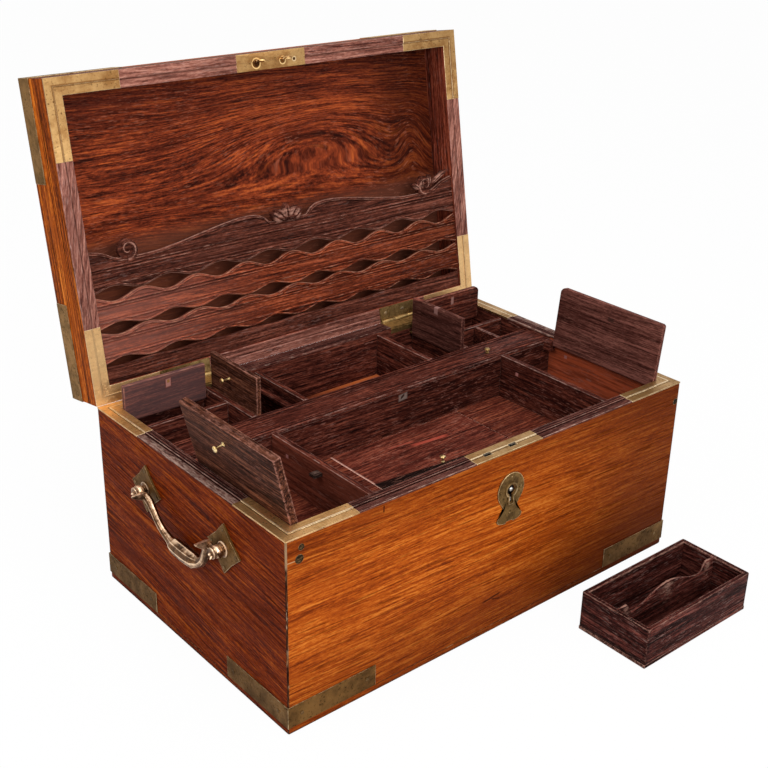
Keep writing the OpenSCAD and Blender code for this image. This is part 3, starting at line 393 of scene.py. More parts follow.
# On the walls that run front to back, painted light brightens the left face of the front left partition and
# the walls left of it, in front of the divider. The right wall in front of the divider turns a brighter
# orange, and there is a small pale mark.
rose_y = wood("rose_y", grain=y_axis, across=z_axis, centre=(0.1, 0.7, 0.3), stains_and_painted_light=(
    (lambda x, y, z: x.rise(0.2315, 0.2325) * y.rise(0.012, 0.011) * streaky(x, y, z) * 0.6, (206, 96, 58)),
    (lambda x, y, z: x.rise(-0.1450, -0.1458) * y.rise(0.012, 0.011) * streaky(x, y, z) * 0.4, (170, 88, 66)),
    (mark("yz", -0.013, 0.178, 0.0018, 0.0018, 0), (168, 110, 104))), **rose)
rose_flat_x = wood("rose_flat_x", centre=(0.5, 0.2, 0.3), **rose)
peg_wood = wood("peg_wood", ((22, 14, 12), (44, 30, 26), (68, 50, 44), (110, 88, 78)), run=60)
# The orange patch towards the back of the floor, right of the middle, is a painted glint.
floor_wood = wood("floor_wood", ((40, 13, 9), (70, 28, 20), (102, 46, 33), (144, 78, 54)),
                  centre=(0.5, 0.2, 0.3), dust=0.5, dust_colour=(160, 104, 88), gloss=0.5, run=14,
                  stains_and_painted_light=((lambda x, y, z: y.rise(0.09, 0.115) * (x * -1).rise(0.03, -0.06) * 0.42,
                           (250, 132, 66)),))


def along_y(centres, normals):
    """Faces of the boards that run from the front to the back."""
    return np.abs(normals[:, 0]) > 0.9


def peg_faces(centres, normals):
    """The peg under the free end of the left front lid."""
    return ((centres[:, 2] > 179) & (centres[:, 0] > -156) & (centres[:, 0] < -144)
            & (centres[:, 1] < -50))


dress("lining_boards", rose_x, None, 0, faces=((along_y, rose_y),))
dress("bearer_strips", rose_y, None, 0, faces=((peg_faces, peg_wood),))
dress("till_floor", floor_wood, None, 0.0004)


# Till: partitions, rails and a hollow divider with a moulded capping stand on the floor, glued
# in grooves. All are rosewood, 5 or 6 mm thick, with rubbed pale edges.
def solid(name, parts, material, body, stands_for=(), wrap=False):
    """One mesh of closed skins, in millimetres. Each part is rings of points and their wear:
    rings[i, j] is point j of ring i. Neighbouring rings are joined by four-sided faces and each
    ring closes on itself. Both ends get a face, or meet each other where the skin wraps. Edges
    that turn by more than 40 degrees keep a crease."""
    verts, wears, faces, base = [], [], [], 0
    for part in parts:
        rings, wear = part if isinstance(part, tuple) else (part, np.zeros(part.shape[:2]))
        count, around = rings.shape[:2]
        i, j = np.meshgrid(np.arange(count if wrap else count - 1), np.arange(around), indexing="ij")
        i2, j2 = (i + 1) % count, (j + 1) % around
        quads = np.stack([i * around + j, i * around + j2, i2 * around + j2, i2 * around + j], -1)
        faces += (quads.reshape(-1, 4) + base).tolist()
        if not wrap:
            faces += [list(range(base, base + around)),
                      list(range(base + (count - 1) * around, base + count * around))]
        verts.append(rings.reshape(-1, 3))
        wears.append(np.broadcast_to(wear, (count, around)).reshape(-1))
        base += count * around
    mesh = bpy.data.meshes.new(name)
    mesh.from_pydata((np.concatenate(verts) * 0.001).tolist(), [], faces)
    worn = mesh.attributes.new("wear", "FLOAT", "POINT")
    worn.data.foreach_set("value", np.concatenate(wears).astype(np.float32))
    mesh.polygons.foreach_set("use_smooth", np.ones(len(faces), bool))
    mesh.materials.append(material)
    outward = bmesh.new()
    outward.from_mesh(mesh)
    bmesh.ops.recalc_face_normals(outward, faces=outward.faces)
    outward.to_mesh(mesh)
    outward.free()
    mesh.set_sharp_from_angle(angle=math.radians(40))
    made = bpy.data.objects.new(name, mesh)
    scene.collection.objects.link(made)
    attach(made, body)
    if stands_for:
        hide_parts(*stands_for)
    return made


def plank(low, high, round_off=0.7, wear=0.72):
    """A board between two corners. Each ring is a rectangle with quarter-round corners, and near
    the ends the rings draw in along the same quarter round. Wear is full on the rounded edges
    and fades out beside them."""
    low, high = np.array(low, float), np.array(high, float)
    half, middle = (high - low) / 2, (high + low) / 2
    long = int(np.argmax(half))
    a, b = [k for k in range(3) if k != long]
    r = min(round_off, 0.3 * half.min())
    turn = np.radians(np.linspace(0, 90, 5))
    fade = min(1.6 * r, half[a], half[b])
    quarter = np.array([(half[a], half[b] - fade, 0.0),
                        *zip(half[a] - r + r * np.cos(turn), half[b] - r + r * np.sin(turn),
                             (0.5, 0.9, 1, 0.9, 0.5)),
                        (half[a] - fade, half[b], 0.0)])
    ring = np.concatenate([quarter, quarter[::-1] * (-1, 1, 1), quarter * (-1, -1, 1),
                           quarter[::-1] * (1, -1, 1)])
    turn = np.radians([90, 60, 30, 0])
    run = np.concatenate([r * (1 - np.sin(turn)), [3 * r]])
    inset = np.concatenate([r * (1 - np.cos(turn)), [0]])
    rub = np.array([0.5, 0.9, 1, 0.5, 0])
    run = np.concatenate([run - half[long], half[long] - run[::-1]])
    inset, rub = np.concatenate([inset, inset[::-1]]), np.concatenate([rub, rub[::-1]])
    rings = np.empty((len(run), len(ring), 3))
    rings[..., long] = middle[long] + run[:, None]
    rings[..., a] = middle[a] + ring[:, 0] * (1 - inset / half[a])[:, None]
    rings[..., b] = middle[b] + ring[:, 1] * (1 - inset / half[b])[:, None]
    return rings, wear * np.maximum(ring[:, 2], rub[:, None])


def moulding(profile, start, stop, place):
    """A moulded strip from start to stop: its profile is points (inwards, up, wear), its foot is
    flat, and place(along, inwards, up) sets it on its side of the case."""
    shape = np.array([(profile[0][0], 0.02, 0.2), *profile, (profile[-1][0], 0.02, 0.2)])
    along = np.array([start, start + 0.4, stop - 0.4, stop])[:, None]
    up = shape[:, 1] * np.array([0.8, 1, 1, 0.8])[:, None]
    return (place(along + 0 * up, shape[:, 0] + 0 * up, up),
            np.where(np.array([1, 0, 0, 1])[:, None], 0.6, shape[:, 2]))


# Heights of the floor, the partitions and the divider's walls, then half the inside's width,
# its front and back, the divider's two faces and the thickness of a wall, in millimetres.
floor_z, till_z, cap_z = 144.0, 192.0, 188.5
inside_x, inside_front, inside_back = 233, -138, 137
divider_front, divider_back, wall = 12, 51, 6
solid("divider_walls", [plank((-inside_x, y, floor_z), (inside_x, y + wall, cap_z), 0.3)
                        for y in (divider_front, divider_back - wall)],
      rose_x, "case", ("centre_divider",))
# Profile points are inwards, up and wear; wear below 0 in the grooves paints shade there.
cap_edge = [(0, 2.6, 0.4), (0.3, 3.2, 0.55), (0.9, 3.5, 0.2), (1.8, 3.4, 0), (2.3, 2.5, -1), (3.4, 2.5, -1),
            (3.8, 3.3, 0.4), (4.5, 3.4, 0), (6.0, 3.4, 0), (6.3, 2.6, -1), (7.3, 2.6, -1), (7.7, 3.3, 0.35),
            (8.8, 3.3, 0)]
capping = cap_edge + [(divider_back - divider_front - y, z, wear) for y, z, wear in reversed(cap_edge)]
solid("divider_cap", [moulding(capping, -inside_x, inside_x, lambda along, inwards, up: np.stack(
    [along, divider_front + inwards, cap_z + up], -1))],
      rose_flat_x, "case", ("divider_capping",))
for name, node, low_y, high_y, places in (
        ("partitions_rear", "rear_partitions", divider_back, inside_back, (-141, 138.5)),
        ("partitions_well", "well_partitions", divider_back, inside_back, (-79.5, 86)),
        ("partitions_front", "front_partitions", inside_front, divider_front, (-146, 156.5))):
    solid(name, [plank((x, low_y, floor_z), (x + wall, high_y, till_z)) for x in places],
          rose_y, "case", (node,))
solid("rails", [plank((-inside_x, 92.4, floor_z), (-141, 97.4, till_z)),
                plank((144.5, 88.7, floor_z), (inside_x, 93.7, till_z)),
                plank((189, divider_back, floor_z), (193, 88.7, till_z))],
      rose_x, "case", ("cross_rails",))


# Rim facing: rosewood strips glued on the rim between the brass plates, stepped up inside and
# worked with fine lines, the outer part rubbed grey by the lid.
facing_tones = ((40, 18, 16), (66, 34, 29), (92, 52, 44), (120, 76, 64))
facing = dict(tones=facing_tones, dust=0.45, dust_colour=(150, 112, 100), worn=(172, 142, 128), gloss=0.5,
              wave=0.3, run=14)
facing_x = wood("facing_x", centre=(0.5, 0.2, 0.3), **facing)
facing_y = wood("facing_y", grain=y_axis, across=x_axis, centre=(0.1, 0.7, 0.3), **facing)
# Profile points are inwards, up and wear; wear below 0 at the foot of the step and in the grooves paints
# shade there.
rim_line = [(0, 1.1, 0.6), (0.4, 1.5, 0.8), (1.2, 1.5, 0.6), (4.0, 1.5, 0.6), (4.8, 1.5, 0.5),
            (7.0, 1.45, 0.5), (7.6, 1.35, -0.9), (8.6, 1.2, -0.9), (8.75, 2.1, 0.7), (9.0, 2.3, 0.8),
            (9.5, 2.3, 0.2), (9.9, 2.3, 0), (10.2, 1.8, -1), (11.2, 1.8, -1), (11.5, 2.3, 0.5),
            (12.0, 2.3, 0.1), (13.0, 2.3, 0), (13.3, 1.8, -1), (14.2, 1.8, -1), (14.5, 2.3, 0.5),
            (15.0, 2.3, 0.1), (16.2, 2.3, 0.2), (16.7, 2.2, 0.8), (17, 1.8, 0.8)]
dark_line = [(u, t, wear if abs(wear) > 0.75 else 0.1 * wear) for u, t, wear in rim_line]
back_line = [(0, 1.6, 0), (0.5, 1.6, 0), *((u, t, min(wear, 0.4)) for u, t, wear in dark_line[2:])]
# The facing's foot, and where the brass plates interrupt it: the corner plates' legs along x
# and y, the lock plate, and the hinges at the back.
rim_z = 193.5
leg_x, leg_y = 174, 79
lock_left, lock_right = -39.5, 45.5
hinge_side = ((-119.7, 106.7), (164.3, leg_x))
sides = {"front": lambda s, u, t: np.stack([s, -half_y + u, rim_z + t], -1),
         "back": lambda s, u, t: np.stack([s, half_y - u, rim_z + t], -1),
         "left": lambda s, u, t: np.stack([-half_x + u, s, rim_z + t], -1),
         "right": lambda s, u, t: np.stack([half_x - u, s, rim_z + t], -1)}
solid("facing_ends", [moulding(rim_line, -leg_y, leg_y, sides[side]) for side in ("left", "right")],
      facing_y, "case")
solid("facing_long", [moulding(dark_line, -leg_x, lock_left, sides["front"]),
                      moulding(dark_line, lock_right, leg_x, sides["front"]),
                      *(moulding(back_line, *run, sides["back"]) for run in hinge_side)],
      facing_x, "case", ("rim_facing",))


# Brass: plates and straps let in flush, cast hinges and a lock, all dulled by age, with
# rubbed bright edges.
def metal(name, bright, dull, spots=0.5, rough=0.38, scratch=0.4, bare=None, cell=38, stains_and_painted_light=()):
    """Cloudy metal: a slow noise, with its number of cells per metre, mixes two tones, a finer one sets dark
    spots, and fine noise drawn out in two directions gives scratches in colour and bump. The mesh's own wear
    bares a brighter tone."""
    material, wire, shader, place = new_material(name)
    cloud = place.noise((cell, cell, cell), 4.0, 0.68).rise(0.32, 0.68)
    colour = wire.node("ValToRGB", {"stops": [(0.0, ink(*dull)), (1.0, ink(*bright))]}, {0: cloud})
    speck = place.noise((420, 420, 420), 2.0).rise(0.56, 0.70)
    patch = place.noise((70, 70, 70), 2.0).rise(0.42, 0.66)
    dark = tuple(0.2 * c for c in ink(*dull))
    colour = colour.over((*dark, 1), speck * (patch * 0.8 + 0.2) * spots)
    lines = place.noise((40, 900, 60), 2.0, 0.7).rise(0.52, 0.66)
    cross = place.noise((900, 50, 700), 2.0, 0.7).rise(0.56, 0.70)
    colour = colour.over((*(min(1, 1.6 * c) for c in ink(*bright)), 1), (lines + cross) * 0.35 * scratch)
    for mask, tint in stains_and_painted_light:
        colour = colour.over((*ink(*tint), 1), mask(*place.parts()))
    if bare is not None:
        wear = wire.node("Attribute", {"attribute_name": "wear"}, out=2)
        colour = colour.over((*ink(*bare), 1), (wear + (cloud - 0.5) * 0.5).rise(0.2, 1.0))
        colour = colour.over((*dark, 1), (wear * -1).rise(0.0, 1.0))
    bump = wire.node("Bump", {}, {"Strength": 0.35, "Distance": 0.0003,
                                  "Height": cloud * 0.8 - speck * 0.4 - (lines + cross) * 0.2})
    feed(shader, Base_Color=colour, Metallic=1.0, Roughness=rough + (1 - cloud) * 0.16 + speck * 0.2,
         Normal=bump)
    return material


step_in = 0.0085


def rim_step(x, y, z):
    """Distance from a line 8.5 mm inside the case's sides, on its rim."""
    return (0.001 * half_x - abs(x)).least(0.001 * half_y - abs(y)) - step_in


def slot_faces(centres, normals):
    """The upright walls of the slots in the lock plate."""
    return ((np.abs(normals[:, 2]) < 0.5) & (np.abs(centres[:, 0] - 3) < 40)
            & (centres[:, 1] > -154.8) & (centres[:, 1] < -138.3))


# The rim plates darken towards the right. Along the step 8.5 mm in they carry a painted shadow at its foot
# and a painted highlight on its edge.
rim_brass = metal("rim_brass", (230, 182, 122), (164, 120, 72), spots=0.9, scratch=0.6, stains_and_painted_light=(
    (wash("x", -0.1, 0.0, 0.6), (112, 84, 46)),
    (lambda x, y, z: (rim_step(x, y, z) + 0.0009).rise(-0.0009, 0.0)
     * rim_step(x, y, z).rise(0.0001, -0.0001) * 0.75, (70, 48, 26)),
    (lambda x, y, z: rim_step(x, y, z).rise(-0.0001, 0.0002)
     * rim_step(x, y, z).rise(0.0012, 0.0006) * 0.85, (250, 232, 200))))
strap_brass = metal("strap_brass", (124, 90, 46), (84, 58, 28), spots=0.7, rough=0.5, scratch=0.2)
edge_brass = metal("edge_brass", (250, 224, 180), (176, 142, 98), spots=0.2, rough=0.3, cell=120)
strap_edge = metal("strap_edge", (206, 180, 140), (96, 74, 46), spots=0.6, rough=0.35, cell=120)
hinge_brass = metal("hinge_brass", (190, 156, 102), (110, 84, 48), spots=0.8, cell=90)
# The walls of the lock plate's slots are painted near white as a highlight.
slot_highlight_metal = metal("slot_highlight_metal", (240, 230, 214), (160, 140, 116), spots=0.2, cell=120)
screw_brass = metal("screw_brass", (128, 100, 62), (72, 52, 30), spots=0.6, rough=0.45, cell=200)
dark_iron = metal("dark_iron", (40, 34, 28), (20, 16, 14), spots=0.8, rough=0.6)
dress("rim_corner_plates", rim_brass, edge_brass, 0.0003)
dress("lock_plate", rim_brass, edge_brass, 0.0003, faces=((slot_faces, slot_highlight_metal),))
for name in ("base_straps", "handle_plates"):
    dress(name, strap_brass, strap_edge, 0.0003)
for name in ("lid_pivot_pins", "body_hinge_leaves", "hinge_pins", "lock_bolt", "divider_pull"):
    dress(name, hinge_brass, None, 0.0001)
dress("brass_screws", screw_brass, None, 0.0001)
dress("lock_case", dark_iron, None, 0)


# Keyhole plate: a cast brass plate with a raised rim round the hole, held by four pins. The steel pin for the
# key stands in the hole, and a dark iron disc and slot, set in the hole behind the plate, are painted shade.
def reach(inside, centre, angles):
    """Distance from a centre, at each angle, to the edge of a flat form."""
    r = np.arange(0, 45, 0.05)[None, :]
    out = ~inside(centre[0] + r * np.cos(angles)[:, None], centre[1] + r * np.sin(angles)[:, None])
    return r[0, np.argmax(out, axis=1)]


def keyhole(radius, half, foot):
    """A round with a slot under it."""
    return lambda x, z: (x * x + z * z < radius ** 2) | ((np.abs(x) < half) & (z < 0) & (z > foot))


key_x, key_z = 6, 153.6
foot_edge = np.array([(-40, 0), (-35.5, 2.0), (-34.6, 9), (-33, 14.5), (-29, 17), (-26, 13), (-19, 8),
                      (-15, 11), (-8, 12.5)])


def plate_form(x, z):
    """The keyhole plate: an oval head, a waist and a fishtail foot."""
    waist = np.interp(z, foot_edge[:, 0], foot_edge[:, 1])
    foot = (np.abs(x) < waist) & (z < -8) & (z > -33.5 - 1.5 * (np.abs(x) > 4))
    return (x * x + (z / 1.05) ** 2 < 17 ** 2) | foot


around = np.linspace(0, 2 * np.pi, 180, endpoint=False)
rings = []
for form, centre, inset, height, wear in (
        (plate_form, (0, -16), 0, 0, 0), (None, None, 0, 0.8, 0.3), (None, None, 0.3, 1.2, 1),
        (None, None, 0.9, 1.2, 0), (keyhole(8, 3.6, -15.5), (0, -5), 0, 1.2, -0.3),
        (None, None, 0.25, 2.1, 0.2), (None, None, 0.8, 2.4, 0.65),
        (keyhole(6, 2.5, -14.3), (0, -5), 0, 2.3, 0.4), (None, None, 0.35, 1.0, -0.4),
        (keyhole(4.9, 1.9, -13.3), (0, -5), 0, 0.9, 0.3), (None, None, 0, 0, 0)):
    if form is not None:
        far, middle = reach(form, centre, around), centre
        far = (np.roll(far, 1) + 2 * far + np.roll(far, -1)) / 4
    rings.append(np.column_stack([key_x + middle[0] + (far - inset) * np.cos(around),
                                  np.full(len(around), -half_y - height),
                                  key_z + middle[1] + (far - inset) * np.sin(around),
                                  np.full(len(around), wear)]))
rings = np.array(rings).transpose(1, 0, 2)
plate_brass = metal("plate_brass", (146, 114, 68), (92, 68, 38), spots=0.9, rough=0.42,
                    bare=(214, 184, 138), cell=90)
solid("keyhole_plate", [(rings[..., :3], rings[..., 3])], plate_brass, "case", ("escutcheon",),
      wrap=True)


def turned(profile, at, out, count=28):
    """A turned form: profile is points (height along out, radius, wear), each swept in a circle."""
    out = np.array(out, float)
    one = np.cross(out, (0.3, 0.5, 0.8))
    one /= np.linalg.norm(one)
    two = np.cross(out, one)
    profile = np.array(profile, float)
    a = np.linspace(0, 2 * np.pi, count, endpoint=False)[None, :, None]
    rings = (np.array(at) + profile[:, 0, None, None] * out
             + profile[:, 1, None, None] * (one * np.cos(a) + two * np.sin(a)))
    return rings, np.repeat(profile[:, 2:], count, 1)


def dome(at, radius, height, out):
    """A low dome on a face: its radius is the cosine and its height the sine of a growing angle."""
    return turned([(-0.3, radius, 0), *((height * math.sin(t), radius * math.cos(t), 0.4)
                                        for t in np.radians((0, 25, 50, 72, 88)))], at, out, 20)


steel = metal("steel", (236, 236, 232), (150, 146, 140), spots=0.3, rough=0.25, cell=200)
outwards = (0, -1, 0)
solid("keyhole_shadow", [turned([(-0.6, 4.7, 0), (0.12, 4.7, 0), (0.12, 0.1, 0)], (key_x, -half_y, key_z), outwards),
                 plank((key_x - 1.8, -half_y - 0.12, key_z - 13.2), (key_x + 1.8, -half_y + 0.6, key_z - 2),
                       0.1)],
      dark_iron, "case")
solid("key_pin", [dome((key_x + x, -half_y - 0.1, key_z + z), radius, height, outwards)
                  for x, z, radius, height in ((0.4, 0.3, 2.3, 1.6), (-0.2, -11.2, 1.6, 0.5),
                                               (-0.1, -9.2, 1.1, 0.4))],
      steel, "case")
solid("plate_pins", [dome((key_x + x, -half_y - 1.2, key_z + z), 0.9, 0.4, outwards)
                     for x, z in ((0, 13.5), (-13.2, 0), (13.2, 0), (0, -24.5))],
      plate_brass, "case")


# Plugs: round pegs of dark wood glued over the screws in the front board, each in a pale worn
# seat. Their heads are cut almost flush and show a dark ring.
plug_wood = wood("plug_wood", ((22, 16, 10), (48, 36, 22), (76, 58, 36), (112, 90, 60)),
                 centre=(0.5, 0.2, 0.3), run=60, worn=(196, 164, 122))
solid("plugs", [turned([(-0.4, r + 0.1, 0.3), (0.05, r + 0.1, 0.5), (0.25, r - 0.1, 0.6),
                        (0.2, r - 0.35, 0.1), (0.05, r - 0.6, -1), (0.05, r - 1.0, -0.3),
                        (0.05, 0.6 * r, 0), (0.05, 0.3, 0.1)],
                       (x, -half_y, z), outwards)
                for x, z, r in ((-236.5, 174, 4.2), (-234.4, 184.5, 2.94), (245.2, 174, 3.36))],
      plug_wood, "case", ("board_plugs",))


# Handles: cast bronze posts screwed through diamond plates, a bail hanging between them by a
# pin at each end. The grip is thick and faceted, and a leaf stands out where an arm meets its pin.
bail_bronze = metal("bail_bronze", (142, 102, 70), (58, 39, 27), rough=0.3, bare=(252, 218, 182), cell=70,
                    spots=0.6)
# Places of the posts' feet, of the spikes on their heads and of the bails' axes.
post_x, post_y, post_z, spike_x, bail_x = 252, 65.5, 145.0, 264.4, 258.5
ball = [(6.5 - 6 * math.cos(t), 6 * math.sin(t), 0.95 if 1.1 < t < 2.0 else 0.3)
        for t in np.radians(range(48, 140, 7))]
post = [(0, 7.5, 0.2), (1.1, 7.5, 0.7), (1.6, 6.9, 0.5), (1.8, 5.2, 0), (2.1, 4.7, 0), *ball, (10.9, 4.4, 0),
        (11.0, 5.3, 0.4), (12.1, 5.4, 0.8), (12.5, 5.0, 0.5), (12.6, 2.0, 0.1), (13.0, 1.6, 0.3),
        (14.3, 1.3, 0.6), (15.2, 0.5, 0.9), (15.4, 0.05, 0.9)]
spike = [(0, 1.3, 0.2), (1.2, 1.2, 0.6), (2.8, 0.7, 0.9), (3.8, 0.05, 1)]
parts = []
for side in (-1, 1):
    for y, a in ((-post_y, -2.2), (post_y, 2.4)):
        up, forward = math.sin(a), math.cos(a)
        parts.append(turned(post, (side * post_x, y, post_z), (side, 0, 0)))
        parts.append(turned(spike, (side * spike_x, y + 2.2 * forward, post_z + 2.2 * up),
                            (side * 0.8, 0.6 * forward, 0.6 * up), 10))
solid("posts", parts, bail_bronze, "case", ("handle_posts",))


def through(points, count):
    """A smooth curve through points: each span is the cubic that keeps the direction of its
    neighbours, taken at count places in all."""
    points = np.asarray(points, float)
    ends = np.vstack([2 * points[:1] - points[1:2], points, 2 * points[-1:] - points[-2:-1]])
    at = np.linspace(0, len(points) - 1 - 1e-9, count)
    k, f = at.astype(int), (at % 1)[:, None]
    p0, p1, p2, p3 = ends[k], ends[k + 1], ends[k + 2], ends[k + 3]
    return 0.5 * (2 * p1 + (p2 - p0) * f + (2 * p0 - 5 * p1 + 4 * p2 - p3) * f ** 2
                  + (3 * p1 - p0 - 3 * p2 + p3) * f ** 3)


def swept(path, radius, facet, corners=48):
    """Rings about a path that lies in a plane of constant x: each is a circle of its own radius,
    or, as facet goes from 0 to 1, an eight-sided figure, worn bright along its eight ridges."""
    run = np.gradient(path, axis=0)
    run /= np.linalg.norm(run, axis=1)[:, None]
    out = np.array([1.0, 0, 0])[None, :]
    side = np.cross(run, out)
    a = np.linspace(0, 2 * np.pi, corners, endpoint=False)
    from_flat = (a % (np.pi / 4)) - np.pi / 8
    shape = 1 + facet[:, None] * (0.985 / np.cos(from_flat)[None, :] - 1)
    r = radius[:, None] * shape
    ridge = np.exp(-((np.abs(from_flat) - np.pi / 8) / 0.09) ** 2)[None, :] * facet[:, None]
    wear = 0.9 * ridge + 0.1 + 0.42 * np.sin(4 * a + 0.5)[None, :]
    return (path[:, None, :] + (r * np.cos(a))[..., None] * out[:, None, :]
            + (r * np.sin(a))[..., None] * side[:, None, :]), wear


# The bail's middle line in y and z, and its radius at places along y.
bail_run = ((72.3, 145), (66, 145), (58, 145), (52, 144.6), (46, 141.5), (40, 135), (33, 127.5), (24, 121.6),
            (15, 118), (8, 116.2), (-2, 115.4), (-12, 115.2), (-22, 115.6), (-30, 116.6), (-37, 119.5),
            (-43, 125.5), (-47, 133), (-50, 140), (-54, 144.4), (-60, 145), (-66, 145), (-72.3, 145))
bail_wide = np.array(((-72.3, 2.9), (-58, 2.9), (-54, 3.6), (-50, 4.2), (-44, 3.9), (-35, 4.4), (-30.5, 5.6),
                      (-28, 6.6), (-11, 7.1), (6.5, 6.6), (8.5, 5.6), (14, 4.1), (26, 3.6), (38, 3.4),
                      (48, 3.9), (54, 3.6), (58, 2.9), (72.3, 2.9)))
# Outline of a leaf's section, for half a width and half a height of 1.
leaf = np.array([(-1, -1), (-0.8, -1.15), (0.8, -1.15), (1, -1), (1, 1), (0.8, 1.15), (-0.8, 1.15), (-1, 1)])
for side, name, carrier in ((-1, "left_bail", "left_handle"), (1, "right_bail", "right_handle")):
    line = through(bail_run, 220)
    radius = np.interp(line[:, 0], bail_wide[:, 0], bail_wide[:, 1])
    grip = 0.7 + 0.3 * np.clip(np.minimum(line[:, 0] + 33, 11 - line[:, 0]) / 3, 0, 1)
    path = np.column_stack([np.full(len(line), side * bail_x), line])
    parts = [swept(path, radius, grip)]
    for y, broad, climb in ((53.6, 3.9, 3.6), (-53.2, 5.6, 6.4)):
        s = np.linspace(0, 1, 26)[:, None]
        taper = (0.55 * broad, broad, 0.92 * broad, 0.3 * broad, 0.12 * broad)
        half = np.interp(s, (0, 0.3, 0.5, 0.96, 1), taper) / 1.15
        x = side * (bail_x - 2.5 + 17.2 * s + 0 * leaf[:, 0])
        z = post_z + np.minimum(0.3 + climb * s + half * leaf[:, 1], 6.0)
        ys = y + 1.5 * leaf[:, 0] * np.interp(s, (0, 0.9, 1), (1.2, 0.9, 0.4))
        parts.append((np.stack([x, ys, z], -1), 0.5 + 0.35 * (np.abs(leaf[:, 1]) > 1.1) + 0 * s))
    solid(name + "_cast", parts, bail_bronze, carrier, (name,))


# Lid: a shallow box of the same timber with a figured panel under its top. Its boards are drawn
# open, turned about the hinges, so their grain runs along the lid's own width and depth.
open_angle = math.radians(99.7)
hinge = np.array([0, half_y, 195.15])
lid_y = np.array([0, math.cos(open_angle), -math.sin(open_angle)])
lid_z = np.array([0, math.sin(open_angle), math.cos(open_angle)])


def opened(x, d, h):
    """Points of the open lid: x along it, d away from the hinges, h away from the rim's plane
    towards the top."""
    x, d, h = np.broadcast_arrays(x, d, h)
    return hinge + x[..., None] * np.array(x_axis) - d[..., None] * lid_y + h[..., None] * lid_z


lid_out = wood("lid_out", front_tones, across=tuple(lid_y), centre=(0.1, 0.3, 0.2),
               stains_and_painted_light=((wash("z", 0.492, 0.498, 0.85), (70, 44, 34)),))
# The lid's ends take a brighter, more orange copy of the case's wood, which paints light on them.
lid_side = wood("lid_side", ((72, 26, 3), (138, 60, 9), (190, 92, 18), (230, 134, 46)), grain=tuple(lid_y),
                across=tuple(lid_z), centre=(0.3, 0.1, 0.4), wave=0.7, band=0.25, run=6, dash=0.9)
inside_tones = ((50, 18, 12), (92, 38, 26), (134, 60, 42), (176, 92, 64))
lid_inner_y = wood("lid_inner_y", inside_tones, grain=tuple(lid_y), across=tuple(lid_z),
                   centre=(0.3, 0.1, 0.4), dust=0.3)
lid_inner_x = wood("lid_inner_x", inside_tones, across=tuple(lid_y), centre=(0.3, 0.1, 0.4), dust=0.3)


def lid_ends(centres, normals):
    """The outsides of the lid's two ends."""
    return (np.abs(normals[:, 0]) > 0.9) & (np.abs(centres[:, 0]) > half_x - 1)


def lid_end_insides(centres, normals):
    """The insides of the lid's two ends."""
    return (np.abs(normals[:, 0]) > 0.9) & (np.abs(centres[:, 0]) < half_x - 10)


def lid_long_insides(centres, normals):
    """The insides of the lid's front and back."""
    from_middle = np.abs(half_y - (hinge - centres) @ lid_y)
    return (np.abs(normals @ lid_y) > 0.9) & (from_middle < half_y - 9)


lid_faces = ((lid_ends, lid_side), (lid_end_insides, lid_inner_y), (lid_long_insides, lid_inner_x))
for name in ("lid_front_board", "lid_back_board", "lid_top_board", "lid_end_boards"):
    dress(name, lid_out, None, 0, faces=lid_faces)
panel_tones = ((46, 16, 10), (96, 38, 22), (142, 60, 32), (190, 92, 44))
# The panel darkens towards its top and towards the right; over its lower part, behind the letter rack, it is
# painted with shade.
lid_panel = wood("lid_panel", panel_tones, across=tuple(lid_y), centre=(0.02, 0.155, 0.35), band=0.42,
                 gloss=0.4, run=13, dash=0.5, wave=1.4, slant=-0.06, dust=0.35, dust_colour=(176, 108, 84),
                 knots=((0.052, -0.066, 0.155, 0.045, 0.050), (0.185, -0.045, 0.022, 0.045, 0.016),
                        (-0.18, 0.02, 0.06, 0.03, 0.012)),
                 stains_and_painted_light=((wash("z", 0.43, 0.49, 0.4), (60, 26, 24)), (wash("x", 0.10, 0.19, 0.62), None),
                         (wash("z", 0.345, 0.325, 0.85), (100, 56, 42))))
dress("lid_inner_panel", lid_panel, None, 0)
lid_facing = dict(dust=0.3, dust_colour=(190, 150, 140), worn=(180, 140, 128), gloss=0.5)
lid_facing_x = wood("lid_facing_x", ((66, 32, 27), (112, 66, 55), (146, 92, 78), (184, 128, 110)),
                    centre=(0.5, 0.2, 0.3), across=tuple(lid_y), **lid_facing)
lid_facing_y = wood("lid_facing_y", ((74, 38, 32), (122, 74, 63), (156, 102, 88), (192, 138, 120)),
                    grain=tuple(lid_y), across=x_axis, centre=(0.1, 0.7, 0.3), slant=0.25, **lid_facing)
# Profile points are inwards, up and wear; wear below 0 at the step and in the groove paints shade there.
lid_line = [(0, 1.1, 0.4), (0.4, 1.5, 0.6), (1.2, 1.5, 0.2), (7.6, 1.5, 0.3), (8.1, 1.4, 0.6),
            (8.5, 1.0, -0.3), (9.1, 0.4, -0.55), (9.9, 0.6, -0.5), (10.3, 0.7, 0.3), (11, 0.7, 0),
            (12.6, 0.7, 0), (13.1, 0.5, -0.3), (13.6, 0.7, 0.1), (16.0, 0.7, 0), (16.7, 0.6, 0.5),
            (17, 0.3, 0.4)]
lid_hinge_line = [(0, 1.6, 0), (0.5, 1.6, 0), *lid_line[2:]]
